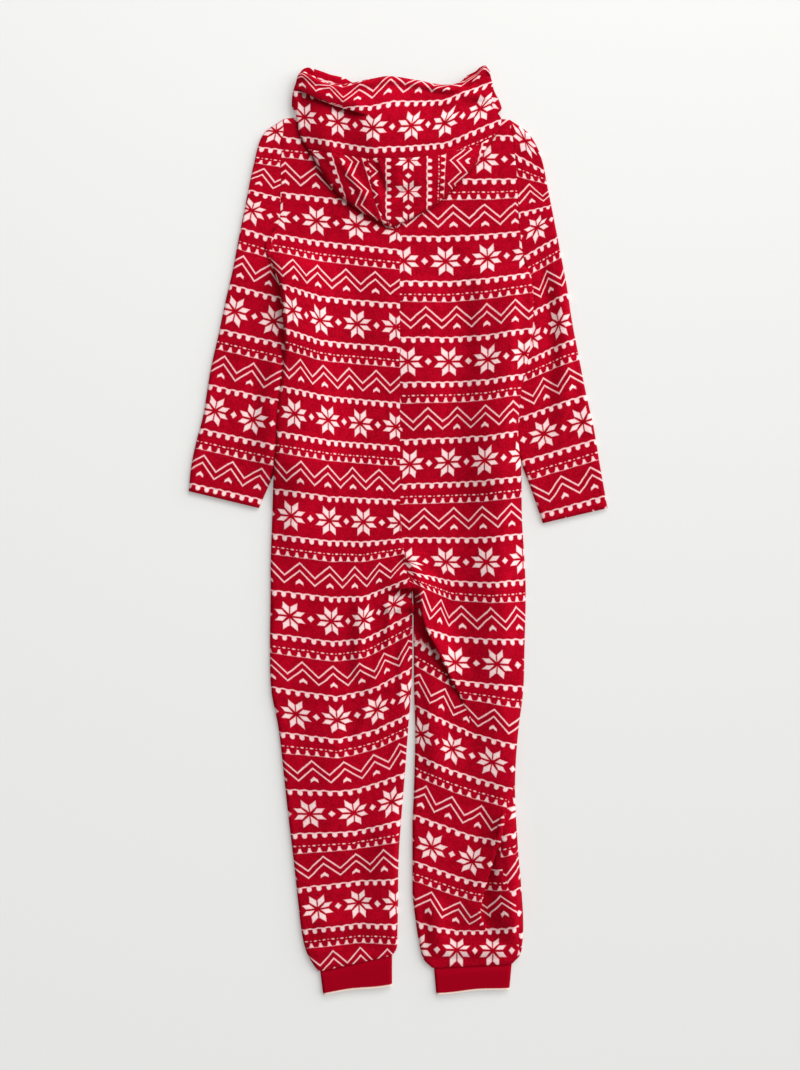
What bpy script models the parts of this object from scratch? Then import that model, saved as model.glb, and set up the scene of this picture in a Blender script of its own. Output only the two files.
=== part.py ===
"""Hooded onesie pajama of plush fleece, laid face down with its hood folded back on it.

X runs across the body, Y from the ankles up to the hood, and Z up from the surface that
the garment lies on. Sizes in the tables are millimetres, and MM turns them into metres.
Left and right are the wearer's, which lie at -X and +X with the back facing up.
"""

import math
from collections import namedtuple

import bmesh
import bpy
from mathutils import Vector

MM = 0.001

WALL = 3.0  # plush fleece, pile included
SEAM_GAP = 0.3  # between two pieces that are sewn together or lie on each other
LAYERS = 9.4  # back and front panel lying on each other, outside to outside
SEAM_HEIGHT = 4.3  # side seams and sleeve folds, above what carries the panels
BACK_ROUND = 6.5  # how far in from a seam the upper cloth bends down to it
FRONT_ROUND = 5.0
SLEEVE_LIFT = 9.9  # height of a body edge that lies on its sleeve
LIFT_FLAT = 40.0  # width of that edge, and of the slope that leads down from it
LIFT_SLOPE = 84.0

PLACKET = 15.0  # the front edges reach this far past the middle
PLACKET_END = 52.0  # Y of the lower end of the front opening
BUTTON_RADIUS = 7.5
BUTTON_THICK = 1.4
BUTTON_LOW = 0.1  # its outer face, just above the surface
BUTTONS = 7
BUTTON_TOP = 640.0
BUTTON_PITCH = 88.0

CUFF_LAYERS = 8.0
CUFF_WALL = 2.8
CUFF_ROUND = 4.0

HOOD_EDGE = 13.6  # lower edge of the hood's outer cloth
HOOD_LAYER_EDGE = 13.2  # upper edge of the hidden layers under it
HOOD_ROUND = 5.0

ROUND_STEPS = 3  # faces across each rounded edge
BODY_STOPS = (22.0, 40.0)  # columns at these distances from the side seam
BODY_COLUMNS = 5  # faces between the last stop and the inner round edge
BODY_ROWS = 38
SLEEVE_ROWS = 16
SLEEVE_COLUMNS = 6
LEFT_CROWN_COLUMNS = 8
RIGHT_CROWN_COLUMNS = 11
CUFF_ROWS = 2
CUFF_COLUMNS = 5

# One row for each section, from the shoulder to the ankle: the side seam and the inner
# edge, which is the centre seam down to the crotch and the inseam below it.
Section = namedtuple("Section", "side_x side_y inner_x inner_y")
LEFT_SECTIONS = (
    Section(-187, 681, 4, 700),
    Section(-191, 628, 4, 644),
    Section(-193, 562, 4, 570),
    Section(-196, 509, 4, 509),
    Section(-206, 467, 4, 469),
    Section(-206, 440, 4, 440),
    Section(-195, 405, 4, 400),
    Section(-189, 347, 4, 344),
    Section(-187, 298, 4, 295),
    Section(-192, 248, 4, 245),
    Section(-200, 191, 4, 187),
    Section(-201, 141, 4, 138),
    Section(-205, 83, 6, 80),
    Section(-208, 1, 7, 1),
    Section(-210, -57, 14, -52),
    Section(-210, -106, 24.5, -98),
    Section(-211, -197, 24.8, -189),
    Section(-209, -263, 23, -260),
    Section(-197, -326, 18, -323),
    Section(-189, -395, 13, -392),
    Section(-181, -469, 7, -466),
    Section(-172, -544, 2, -540),
    Section(-164, -618, 1, -615),
    Section(-158, -667, 0, -659),
    Section(-149, -702, -2, -687),
    Section(-133, -730, -11, -700),
)
RIGHT_SECTIONS = (
    Section(186, 679, 4, 700),
    Section(193, 628, 4, 644),
    Section(198, 570, 4, 570),
    Section(201, 509, 4, 509),
    Section(209, 450, 4, 456),
    Section(222, 413, 4, 413),
    Section(224, 372, 4, 372),
    Section(222, 323, 4, 319),
    Section(212, 270, 4, 262),
    Section(202, 210, 4, 202),
    Section(199, 156, 4, 148),
    Section(204, 103, 6, 92),
    Section(206, 17, 7, 9),
    Section(210, -49, 14, -52),
    Section(212, -103, 24.5, -98),
    Section(210, -194, 26.5, -189),
    Section(208, -263, 27, -260),
    Section(200, -329, 29, -326),
    Section(195, -395, 28, -395),
    Section(195, -453, 26, -453),
    Section(200, -535, 22, -524),
    Section(205, -593, 24, -593),
    Section(208, -651, 30, -646),
    Section(205, -686, 35, -682),
    Section(200, -705, 44, -709),
    Section(189, -718, 59, -724),
)

# Where each side stops being an armhole and where its sleeve lifts it, as Y.
Side = namedtuple("Side", "underarm lift_top lift_full lift_low lift_end")
LEFT_SIDE = Side(467, 462, 420, 96, 30)
RIGHT_SIDE = Side(450, 446, 404, 98, 36)
CROTCH_Y = -98.0
CENTRE_X = 4.0  # centre-back seam, straight down to where it turns towards the crotch
CENTRE_TURN_Y = 60.0
CROTCH_X = 24.5
SHOULDER_X = 187.0  # shoulder points and the middle of the neckline
SHOULDER_Y = 681.0
NECK_Y = 700.0
NECK_HALF = 62.0  # the neckline; from here out to the next the shoulder seam begins
SHOULDER_HALF = 95.0

# One ring for each section of a sleeve, from the armhole to the hem: the outer fold and
# the inner fold of the flattened tube.
Ring = namedtuple("Ring", "outer_x outer_y inner_x inner_y")
LEFT_SLEEVE = (
    Ring(-187, 681, -206, 467),
    Ring(-222, 655, -209, 452),
    Ring(-238, 603, -210, 438),
    Ring(-250, 545, -208, 419),
    Ring(-262, 485, -201, 394),
    Ring(-272, 432, -188, 362),
    Ring(-284, 380, -174, 322),
    Ring(-296, 323, -166, 276),
    Ring(-309, 265, -166, 222),
    Ring(-321, 191, -177, 163),
    Ring(-332, 149, -192, 120),
    Ring(-341, 106, -210, 80),
    Ring(-345, 70, -227, 44),
)
RIGHT_SLEEVE = (
    Ring(186, 679, 209, 450),
    Ring(217, 656, 217, 438),
    Ring(237, 618, 223, 425),
    Ring(249, 562, 226, 408),
    Ring(261, 502, 223, 387),
    Ring(271, 450, 213, 358),
    Ring(280, 402, 200, 326),
    Ring(288, 348, 189, 284),
    Ring(299, 290, 182, 232),
    Ring(311, 229, 184, 180),
    Ring(324, 171, 196, 134),
    Ring(334, 111, 219, 72),
    Ring(345, 49, 245, 16),
)

# Folds of the upper cloth. Each runs from its start to its end, bowed to its left by
# bow, and falls away over the two widths. A trough has a negative height.
Fold = namedtuple("Fold", "start_x start_y end_x end_y bow left right height")
BODY_FOLDS = (
    Fold(162, 190, 165, -280, 0, 72, 42, 7.5),  # right side, under the arm to the thigh
    Fold(74, 420, 72, 60, 0, 26, 26, 3.0),  # two soft waves down the right back
    Fold(140, 410, 136, 120, 0, 24, 24, 2.5),
    Fold(-30, 330, -40, -40, 0, 40, 40, 2.5),
    Fold(-150, 60, -148, -60, 0, 45, 45, 2.5),
    Fold(10, -22, 112, -250, -14, 20, 34, 12.0),  # seat hanging over the right thigh
    Fold(44, -130, 96, -285, -8, 22, 20, -5.0),  # dark hollow below it
    Fold(60, -200, 88, -400, 0, 24, 30, 5.0),
    Fold(-16, -90, -60, -330, 30, 22, 26, 6.0),  # left inner thigh
    Fold(-66, -104, -72, -240, 6, 22, 22, -4.0),
    Fold(4, -262, -90, -366, -22, 18, 22, -4.0),  # smile fold above the knee
    Fold(-120, -180, -110, -560, 0, 48, 60, 3.0),
    Fold(140, -440, 128, -700, 16, 44, 22, 7.0),  # right shin, lying over its own side
    Fold(172, -520, 176, -700, 0, 22, 20, -5.0),
    Fold(-150, -692, -8, -676, 0, 16, 16, 5.0),  # legs blouse over their cuffs
    Fold(40, -694, 202, -694, 0, 16, 16, 5.0),
    Fold(-10, -540, -12, -680, 0, 22, 18, -3.0),
)
SLEEVE_FOLDS = (
    Fold(-262, 380, -262, 120, 0, 40, 34, 2.5),
    Fold(230, 470, 236, 180, 20, 20, 20, -3.0),
    Fold(276, 470, 296, 190, 0, 26, 22, 4.0),
)
HOOD_FOLDS = (
    Fold(-170, 744, -70, 716, -8, 16, 15, 9.0),  # rolled edge at the upper left
    Fold(-160, 724, -60, 694, -10, 12, 26, -7.0),
    Fold(158, 738, 60, 712, 10, 18, 14, 5.0),
    Fold(146, 712, 30, 700, 12, 22, 12, -3.5),
    Fold(-30, 600, -34, 530, 0, 14, 16, -5.0),
    Fold(16, 610, -6, 540, 0, 26, 24, 4.0),
)

# Edges of the hood, each a smooth line through its points.
HOOD_LEFT = ((-161, 760), (-169, 743), (-173, 719), (-172, 694), (-169, 681),
             (-159, 648), (-139, 615), (-111, 570), (-72, 534), (-26, 507), (-18, 502), (-15, 498))
HOOD_RIGHT = ((154, 760), (161, 743), (169, 719), (175, 694), (174, 679),
              (158, 644), (134, 611), (110, 583), (77, 550), (50, 529), (9, 508), (-4, 502), (-7, 498))
HOOD_TIP = (-11, 500)
HOOD_TIP_ROUND = 9.0
NEAR_HEM = ((-166, 753), (-156, 761), (-139, 752), (-111, 743), (-75, 738), (-45, 743),
            (-12, 749), (24, 747), (54, 740), (83, 736), (113, 743), (133, 755),
            (146, 766), (158, 750))
FAR_HEM = ((-163, 747), (-156, 763), (-146, 766), (-115, 757), (-83, 746), (-54, 730),
           (4, 724), (78, 727), (105, 742), (120, 758), (136, 766), (151, 763), (161, 740))
# The hidden layers end a little inside the outer cloth, from one shoulder to the other.
LAYER_EDGE = ((-166, 680), (-155, 649), (-136, 618), (-109, 573), (-70, 538), (-26, 511),
              (-11, 504), (8, 512), (49, 533), (75, 554), (108, 587), (131, 614), (154, 646),
              (166, 680))
BAND_SEAM = ((-156, 640), (-143, 628), (-115, 623), (-85, 620), (-50, 618), (-4, 618),
             (37, 619), (77, 621), (121, 634), (153, 649), (167, 664))
CROWN_SEAM = ((-50, 618), (-47, 578), (-42, 555), (-35, 534), (-24, 518), (-14, 509))
CREST = ((770, 30), (740, 36), (700, 38), (640, 36), (580, 32), (540, 29), (510, 26), (498, 25))

# Top and bottom line of each cuff, left end and right end.
Cuff = namedtuple("Cuff", "top_left top_right bottom_left bottom_right")
LEFT_CUFF = Cuff((-128, -731.1), (-12, -700.9), (-123, -766), (-9, -752))
RIGHT_CUFF = Cuff((60, -725.0), (188, -718.6), (64, -766), (184, -757))


def smoothstep(low, high, value):
    share = min(1.0, max(0.0, (value - low) / (high - low)))
    return share * share * (3.0 - 2.0 * share)


def curve(knots, points):
    """Return a function that runs smoothly through points, one for each knot."""
    points = [Vector(p) for p in points]

    def slope(i):
        low, high = max(i - 1, 0), min(i + 1, len(points) - 1)
        return (points[high] - points[low]) / (knots[high] - knots[low])

    def at(place):
        i = 0
        while i < len(knots) - 2 and place > knots[i + 1]:
            i += 1
        span = knots[i + 1] - knots[i]
        t = min(1.0, max(0.0, (place - knots[i]) / span))
        return (
            points[i] * (2 * t**3 - 3 * t**2 + 1)
            + slope(i) * span * (t**3 - 2 * t**2 + t)
            + points[i + 1] * (3 * t**2 - 2 * t**3)
            + slope(i + 1) * span * (t**3 - t**2)
        )

    return at


def line_through(points):
    """A smooth line in the plane, and its length, by the distance along it."""
    knots = [0.0]
    for a, b in zip(points, points[1:]):
        knots.append(knots[-1] + math.dist(a, b))
    return curve(knots, points), knots[-1]


def relief(folds, x, y):
    """Height that the folds add at a place."""
    total = 0.0
    for fold in folds:
        run = Vector((fold.end_x - fold.start_x, fold.end_y - fold.start_y))
        gap = Vector((x - fold.start_x, y - fold.start_y))
        along = gap.dot(run) / run.length_squared
        if not 0.0 < along < 1.0:
            continue
        across = (run.x * gap.y - run.y * gap.x) / run.length - fold.bow * 4 * along * (1 - along)
        share = across / (fold.left if across > 0 else fold.right)
        if abs(share) < 1.0:
            ends = smoothstep(0, 0.28, along) * smoothstep(0, 0.28, 1 - along)
            total += fold.height * ends * 0.5 * (1 + math.cos(math.pi * share))
    return total


def centre_seam(y):
    """X of the seam that joins left and right, from the neck to the crotch."""
    turn = max(0.0, (CENTRE_TURN_Y - y) / (CENTRE_TURN_Y - CROTCH_Y))
    return CENTRE_X + (CROTCH_X - CENTRE_X) * turn**2.2


def bend(distance, radius):
    """Share of its full height that cloth has this far in from a seam it bends down to."""
    inward = 1.0 - min(1.0, max(0.0, distance / radius))
    return math.sqrt(max(0.0, 1.0 - inward * inward))


def stop(share, width, radius, stops, columns, far_stops=()):
    """Distance of a column from the seam: close together where the cloth bends down, at the
    stops given from either edge, and even between them."""
    place = share * (2 * ROUND_STEPS + len(stops) + columns + len(far_stops))
    if place <= ROUND_STEPS:
        return radius * (1 - math.cos(0.5 * math.pi * place / ROUND_STEPS))
    marks = [radius, *stops]
    ends = [width - far for far in (*far_stops, radius)]
    marks += [marks[-1] + (ends[0] - marks[-1]) * (k + 1) / columns for k in range(columns)]
    marks += ends[1:]
    place -= ROUND_STEPS
    if place >= len(marks) - 1:
        turn = 0.5 * math.pi * (place - len(marks) + 1) / ROUND_STEPS
        return ends[-1] + radius * math.sin(turn)
    i = int(place)
    return marks[i] + (marks[i + 1] - marks[i]) * (place - i)


def cloth(name, material, across, along, outer, inner, hand, tube=False, wall=WALL):
    """A closed wall of cloth. outer gives its outer points for shares across and along, and
    inner may move the point that lies one wall further in. hand is 1 where across, along
    and outwards are right-handed, and -1 where they aren't."""
    mesh = bmesh.new()
    bmesh.ops.create_grid(mesh, x_segments=across, y_segments=along, size=0.5)
    shares = {v: (v.co.x + 0.5, v.co.y + 0.5) for v in mesh.verts}
    rim = [e for e in mesh.edges if e.is_boundary]
    if tube:
        rim = [e for e in rim if abs(e.verts[0].co.y - e.verts[1].co.y) < 1e-6]
    backs = bmesh.ops.duplicate(mesh, geom=mesh.verts[:] + mesh.edges[:] + mesh.faces[:])
    lining = backs["vert_map"]
    for edge in rim:
        a, b = edge.verts
        mesh.faces.new((a, b, lining[b], lining[a]))
    step = 1e-3
    for vert, (u, v) in shares.items():
        place = outer(u, v)
        if tube:
            run = outer((u + step) % 1.0, v) - outer((u - step) % 1.0, v)
        else:
            run = outer(min(1, u + step), v) - outer(max(0, u - step), v)
        rise = outer(u, min(1, v + step)) - outer(u, max(0, v - step))
        depth = inner(u, v, place, place - run.cross(rise).normalized() * wall * hand)
        vert.co = place * MM
        lining[vert].co = depth * MM
    if tube:
        bmesh.ops.remove_doubles(mesh, verts=mesh.verts, dist=2e-6)
    mesh.normal_update()
    bmesh.ops.recalc_face_normals(mesh, faces=mesh.faces)
    if mesh.calc_volume(signed=True) < 0:
        bmesh.ops.reverse_faces(mesh, faces=mesh.faces)
    return put(name, mesh, material)


def put(name, mesh, material):
    """Make an object of a mesh, with smooth faces and its material."""
    data = bpy.data.meshes.new(name)
    mesh.to_mesh(data)
    mesh.free()
    data.shade_smooth()
    data.set_sharp_from_angle(angle=math.radians(60))
    data.materials.append(material)
    thing = bpy.data.objects.new(name, data)
    bpy.context.scene.collection.objects.link(thing)
    return thing


def finish(name, colour, roughness):
    material = bpy.data.materials.new(name)
    material.use_nodes = True
    shader = material.node_tree.nodes["Principled BSDF"]
    shader.inputs["Base Color"].default_value = (*colour, 1.0)
    shader.inputs["Roughness"].default_value = roughness
    shader.inputs["Metallic"].default_value = 0.0
    material.diffuse_color = (*colour, 1.0)
    return material


class Body:
    """The plan of one half of the body: its sections, its rounded edges and its lift."""

    def __init__(self, sections, side, sign):
        self.side_knots = [0.0]
        middles = [((s.side_x + s.inner_x) / 2, (s.side_y + s.inner_y) / 2) for s in sections]
        for a, b in zip(middles, middles[1:]):
            self.side_knots.append(self.side_knots[-1] + math.dist(a, b))
        self.length = self.side_knots[-1]
        self.side_line = curve(self.side_knots, [(s.side_x, s.side_y) for s in sections])
        self.inner_line = curve(self.side_knots, [(s.inner_x, s.inner_y) for s in sections])
        self.side, self.sign = side, sign

    def section(self, along):
        """Side point, inner point and distance down the body."""
        far = stop(along, self.length, BACK_ROUND, (), BODY_ROWS)
        a, b = self.side_line(far), self.inner_line(far)
        if b.y > CROTCH_Y:
            b.x = centre_seam(b.y)
        else:
            b.x = self.sign * max(self.sign * b.x, self.sign * CROTCH_X)
        return a, b + Vector((self.sign * 0.9 * SEAM_GAP, 0.0)), far

    def armhole(self):
        """X of the armhole's seam for a Y."""
        rows = [self.side_line(k * self.length / 200) for k in range(60)]

        def at(y):
            for a, b in zip(rows, rows[1:]):
                if a.y >= y > b.y:
                    return a.x + (b.x - a.x) * (a.y - y) / (a.y - b.y)
            return rows[0].x

        return at

    def lift(self, distance, y):
        s = self.side
        rise = smoothstep(s.lift_top, s.lift_full, y) if y > s.lift_low else 1.0
        fall = smoothstep(s.lift_end, s.lift_low, y)
        slope = 1.0 - smoothstep(LIFT_FLAT, LIFT_FLAT + LIFT_SLOPE, distance)
        return SLEEVE_LIFT * rise * fall * slope

    def edges(self, distance, width, far, x, y, radius):
        """Share of its full height that the cloth has, by the seams it bends down to."""
        s = self.side
        side = smoothstep(s.underarm + 6, s.underarm - 6, y)
        leg = smoothstep(CROTCH_Y + 6, CROTCH_Y - 8, y)
        share = 1.0 - side * (1.0 - bend(distance, radius))
        share *= 1.0 - leg * (1.0 - bend(width - distance, radius))
        shoulder = smoothstep(NECK_HALF, SHOULDER_HALF, abs(x - CENTRE_X))
        share *= 1.0 - shoulder * (1.0 - bend(far, radius))
        return share

    def square_seam(self, u, place, depth):
        """Keep the wall's edge upright along the centre seam and the armhole."""
        if u > 0.999:
            depth.x = place.x + (depth.x - place.x) * smoothstep(CROTCH_Y + 6, CROTCH_Y - 8, place.y)
        if u < 0.001:
            armhole = smoothstep(self.side.underarm - 6, self.side.underarm + 6, place.y)
            depth.x += (place.x - depth.x) * armhole
        return depth


def back_panel(name, material, body):
    """Upper layer: it bends down to the side seam, the shoulder and the inseam."""

    def spread(u, v):
        a, b, far = body.section(v)
        width = (b - a).length
        distance = stop(u, width, BACK_ROUND, BODY_STOPS, BODY_COLUMNS)
        flat = a + (b - a) * (distance / width)
        return flat, distance, width, far

    def outer(u, v):
        flat, distance, width, far = spread(u, v)
        lift = body.lift(distance, flat.y)
        share = body.edges(distance, width, far, flat.x, flat.y, BACK_ROUND)
        ankle = bend(body.length - far, 9.0) * 0.62 + 0.38
        top = LAYERS + relief(BODY_FOLDS, flat.x, flat.y)
        least = under(flat.x, flat.y) + SEAM_GAP + WALL + 0.1
        low = SEAM_HEIGHT + SEAM_GAP / 2
        z = lift + low + (max(top, least) - low) * share * ankle
        return Vector((flat.x, flat.y, z))

    def inner(u, v, place, depth):
        flat, distance, width, far = spread(u, v)
        least = max(SEAM_HEIGHT + SEAM_GAP / 2, under(flat.x, flat.y) + SEAM_GAP)
        depth.z = max(depth.z, body.lift(distance, flat.y) + least)
        return body.square_seam(u, place, depth)

    columns = 2 * ROUND_STEPS + len(BODY_STOPS) + BODY_COLUMNS
    return cloth(name, material, columns, 2 * ROUND_STEPS + BODY_ROWS, outer, inner, body.sign)


def under(x, y):
    """Height of the front panels' upper side, doubled where they overlap."""
    overlap = smoothstep(PLACKET_END - 130, PLACKET_END - 70, y)
    strip = 1.0 - smoothstep(PLACKET + 3, PLACKET + 22, abs(x - 4.0))
    return WALL + (WALL + SEAM_GAP) * overlap * strip


def front_panel(name, material, body, above):
    """Lower layer: flat where it rests. One front's edge passes above the other's."""
    columns = BODY_COLUMNS - 1

    def spread(u, v):
        a, b, far = body.section(v)
        open_part = smoothstep(PLACKET_END - 60, PLACKET_END, b.y)
        b = b - Vector((body.sign * PLACKET * open_part, 0.0))
        width = (b - a).length
        far_stops = [PLACKET * (1 + open_part) + extra for extra in (18, 2)]
        distance = stop(u, width, FRONT_ROUND, BODY_STOPS, columns, far_stops)
        flat = a + (b - a) * (distance / width)
        return flat, distance, width, far

    def outer(u, v):
        flat, distance, width, far = spread(u, v)
        share = body.edges(distance, width, far, flat.x, flat.y, FRONT_ROUND)
        step = 0.0
        if above:
            overlap = smoothstep(PLACKET_END - 120, PLACKET_END - 64, flat.y)
            strip = smoothstep(-PLACKET - 17, -PLACKET - 2, flat.x - 4.0)
            step = (WALL + SEAM_GAP) * overlap * strip * share
        z = body.lift(distance, flat.y) + (SEAM_HEIGHT - SEAM_GAP / 2) * (1.0 - share) + step
        return Vector((flat.x, flat.y, z))

    def inner(u, v, place, depth):
        flat, distance, width, far = spread(u, v)
        most = body.lift(distance, flat.y) + SEAM_HEIGHT - SEAM_GAP / 2
        depth.z = min(depth.z, max(most, place.z + WALL))
        if u < 0.001 or u > 0.999:
            depth.z = min(depth.z, most) if place.z > most - 0.01 else depth.z
        return body.square_seam(u, place, depth)

    across = 2 * ROUND_STEPS + len(BODY_STOPS) + columns + 2
    return cloth(name, material, across, 2 * ROUND_STEPS + BODY_ROWS, outer, inner, -body.sign)


def flat_tube(name, material, lines, length, half, rows, top, wall, radius, folds, hand, fit=None):
    """A tube of cloth pressed flat: half is the count of faces over its upper side."""
    low = SEAM_HEIGHT
    outer_line, inner_line = lines

    def outer(u, v):
        upper = u <= 0.5
        share = 2 * u if upper else 2 * (1 - u)
        far = v * length
        a, b = outer_line(far), inner_line(far)
        width = (b - a).length
        distance = stop(share, width, radius, (), half - 2 * ROUND_STEPS)
        flat = a + (b - a) * (distance / width)
        if fit:
            flat = fit(v, distance / width, flat)
        height = bend(distance, radius) * bend(width - distance, radius)
        if upper:
            z = low + (top + relief(folds, flat.x, flat.y) - low) * height
        else:
            z = low * (1 - height)
        return Vector((flat.x, flat.y, z))

    def inner(u, v, place, depth):
        if u > 0.5:
            depth.z = max(depth.z, wall * 0.9)
        if fit and v < 0.3:
            depth = fit(v, None, depth)
        return depth

    return cloth(name, material, 2 * half, rows, outer, inner, hand, tube=True, wall=wall)


def sleeve(name, material, rings, body):
    """Set-in sleeve: its upper end follows the armhole, and it passes under the body."""
    knots = [0.0]
    middles = [((r.outer_x + r.inner_x) / 2, (r.outer_y + r.inner_y) / 2) for r in rings]
    for a, b in zip(middles, middles[1:]):
        knots.append(knots[-1] + math.dist(a, b))
    gap = Vector((body.sign * SEAM_GAP, 0.0))
    outer_line = curve(knots, [Vector((r.outer_x, r.outer_y)) + gap for r in rings])
    inner_line = curve(knots, [Vector((r.inner_x, r.inner_y)) + gap for r in rings])
    half = 2 * ROUND_STEPS + SLEEVE_COLUMNS
    top, bottom = rings[0].outer_y, rings[0].inner_y
    armhole = body.armhole()

    def room(y):
        return gap.x * (1 + 4 * smoothstep(bottom + 100, bottom + 20, y))

    def fit(v, share, place):
        line_x = armhole(place.y) + room(place.y)
        if share is None:
            if place.y > bottom:
                place.x = body.sign * max(body.sign * place.x, body.sign * line_x)
            return place
        straight = rings[0].outer_x + (rings[0].inner_x - rings[0].outer_x) * share
        y = top + (bottom - top) * share
        near = max(0.0, 1.0 - v / 0.3) ** 2
        return place + Vector(((armhole(y) + room(y) - gap.x - straight) * near, 0.0))

    return flat_tube(name, material, (outer_line, inner_line), knots[-1], half, SLEEVE_ROWS,
                     LAYERS, WALL, BACK_ROUND, SLEEVE_FOLDS, body.sign, fit)


def crossing(points):
    """X of an edge of the hood for a Y, from points that run down the hood."""
    line = curve([-y for _, y in points], points)
    return lambda y: line(-y).x


def hood_shape(x, y, left=crossing(HOOD_LEFT), right=crossing(HOOD_RIGHT)):
    """Outer point of the hood's cloth over a place, and the point one wall further in."""
    low, high = left(y), right(y)
    half = (high - low) / 2
    side = min(1.0, max(-1.0, (x - low) / half - 1.0))
    crest = curve([-c[0] for c in CREST], [(c[1], 0.0) for c in CREST])(-y).x
    tip = bend(y - HOOD_TIP[1], HOOD_TIP_ROUND)
    full = math.sqrt(max(0.0, 1.0 - abs(side) ** 2.6)) * tip
    rise = crest - HOOD_EDGE + relief(HOOD_FOLDS, x, y)
    inset = min(1.3 * WALL, 0.4 * half) * side**3
    outer = Vector((x, y, HOOD_EDGE + rise * full))
    inner = Vector((x - inset, y + WALL * (1 - tip), HOOD_EDGE + (rise - WALL) * full))
    return outer, inner


def hood_piece(name, material, plan, across, along):
    def outer(u, v):
        return hood_shape(*plan(u, v))[0]

    def inner(u, v, place, depth):
        return hood_shape(*plan(u, v))[1]

    return cloth(name, material, across, along, outer, inner, 1)


def hood_layers(plush):
    """The hood's far side, neck seam and lining as one solid. It rests on the surface past
    the shoulders, steps up over the back panels and reaches as far as the hood's tip."""

    def shoulder(x):
        span = SHOULDER_X + (CENTRE_X if x < CENTRE_X else -CENTRE_X)
        return NECK_Y - (NECK_Y - SHOULDER_Y) * abs(x - CENTRE_X) / span

    hem, hem_length = line_through(FAR_HEM)
    neck, neck_length = line_through([(x, shoulder(x) + 2.4) for x in range(-165, 170, 15)])
    edge, edge_length = line_through(LAYER_EDGE)
    across, past, step, over = 24, 4, 1, 8
    rows = past + step + over

    def plan(u, v):
        far, row = ease(u), v * rows
        a, b, c = hem(far * hem_length), neck(far * neck_length), edge(far * edge_length)
        if row <= past:
            return a + (b - a) * ease(row / past)
        b.y -= 0.4 * min(1.0, row - past)
        return b + (c - b) * ease(max(0.0, row - past - step) / over)

    def heights(u, v):
        flat = plan(u, v)
        sides = (plan(0, v), plan(1, v), plan(u, 0), plan(u, 1))
        rounded = bend(min((flat - side).length for side in sides), HOOD_ROUND)
        low = 0.0 if v * rows < past + 0.5 * step else LAYERS + 2 * SEAM_GAP
        fullness = 0.3 + 0.36 * smoothstep(NECK_Y, 560, flat.y)
        high = hood_shape(flat.x, flat.y)[1].z - HOOD_EDGE
        high = HOOD_LAYER_EDGE + fullness * max(0.0, high)
        middle = 0.55 * (LAYERS + 2 * SEAM_GAP) + 0.45 * high
        high = middle + (high - middle) * (0.25 + 0.75 * rounded)
        return flat, high, low + (middle - low) * (1 - rounded) * 0.6

    def outer(u, v):
        flat, high, low = heights(u, v)
        return Vector((flat.x, flat.y, high))

    def inner(u, v, place, depth):
        flat, high, low = heights(u, v)
        return Vector((flat.x, flat.y, low))

    cloth("hood_under", plush, across, rows, outer, inner, 1)


def buttons(material, front):
    """Round buttons down the placket, each sunk into the plush under it."""
    for k in range(BUTTONS):
        y = BUTTON_TOP - k * BUTTON_PITCH
        mesh = bmesh.new()
        disc(mesh, BUTTON_RADIUS, BUTTON_LOW, BUTTON_LOW + BUTTON_THICK, y)
        put(f"button_{k + 1}", mesh, material)
    mesh = bmesh.new()
    for k in range(BUTTONS):
        y = BUTTON_TOP - k * BUTTON_PITCH
        disc(mesh, BUTTON_RADIUS + SEAM_GAP, -1.0, BUTTON_LOW + BUTTON_THICK + SEAM_GAP, y)
    cutter = put("button_hollows", mesh, material)
    cutter.hide_render = True
    cutter.display_type = "WIRE"
    cut = front.modifiers.new("button_hollows", "BOOLEAN")
    cut.operation = "DIFFERENCE"
    cut.solver = "EXACT"
    cut.object = cutter


def disc(mesh, radius, low, high, y):
    made = bmesh.ops.create_cone(mesh, cap_ends=True, segments=16, radius1=radius * MM,
                                 radius2=radius * MM, depth=(high - low) * MM)
    place = Vector((CENTRE_X, y, (low + high) / 2)) * MM
    bmesh.ops.translate(mesh, verts=made["verts"], vec=place)


def ease(share):
    """Columns closer together towards both ends."""
    return 0.5 * (1 - math.cos(math.pi * share)) * 0.5 + share * 0.5


def hood_outer(plush):
    """The front band over the two crown pieces, with their columns meeting at the seam."""
    seam, length = line_through(BAND_SEAM)
    split = sum(math.dist(a, b) for a, b in zip(BAND_SEAM[:4], BAND_SEAM[1:5]))
    hem, hem_length = line_through(NEAR_HEM)
    middle, middle_length = line_through(CROWN_SEAM)
    centre = LEFT_CROWN_COLUMNS / (LEFT_CROWN_COLUMNS + RIGHT_CROWN_COLUMNS)

    def band_plan(u, v):
        if u < centre:
            far = split * ease(u / centre)
        else:
            far = split + (length - split) * ease((u - centre) / (1 - centre))
        low = seam(far) + Vector((0.0, SEAM_GAP))
        high = hem(far / length * hem_length)
        return high + (low - high) * v

    hood_piece("hood_band", plush, band_plan, LEFT_CROWN_COLUMNS + RIGHT_CROWN_COLUMNS, 6)

    def crown(name, sign, columns, edge_points, run):
        edge, edge_length = line_through([*edge_points, HOOD_TIP])
        nudge = Vector((sign * SEAM_GAP, 0.0))

        def plan(u, v):
            a, b = middle(v * middle_length) + nudge, edge(v * edge_length)
            b += nudge * v
            top = seam(split + run * ease(u)) - Vector((0.0, SEAM_GAP / 2)) + nudge * (1 - u)
            corner = middle(0.0) + nudge + (edge(0.0) - middle(0.0) - nudge) * ease(u)
            return a + (b - a) * ease(u) + (top - corner) * (1 - v) ** 2

        hood_piece(name, plush, plan, columns, 9)

    crown("hood_left", -1, LEFT_CROWN_COLUMNS, HOOD_LEFT[5:-1], -split)
    crown("hood_right", 1, RIGHT_CROWN_COLUMNS, HOOD_RIGHT[4:-1], length - split)


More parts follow.
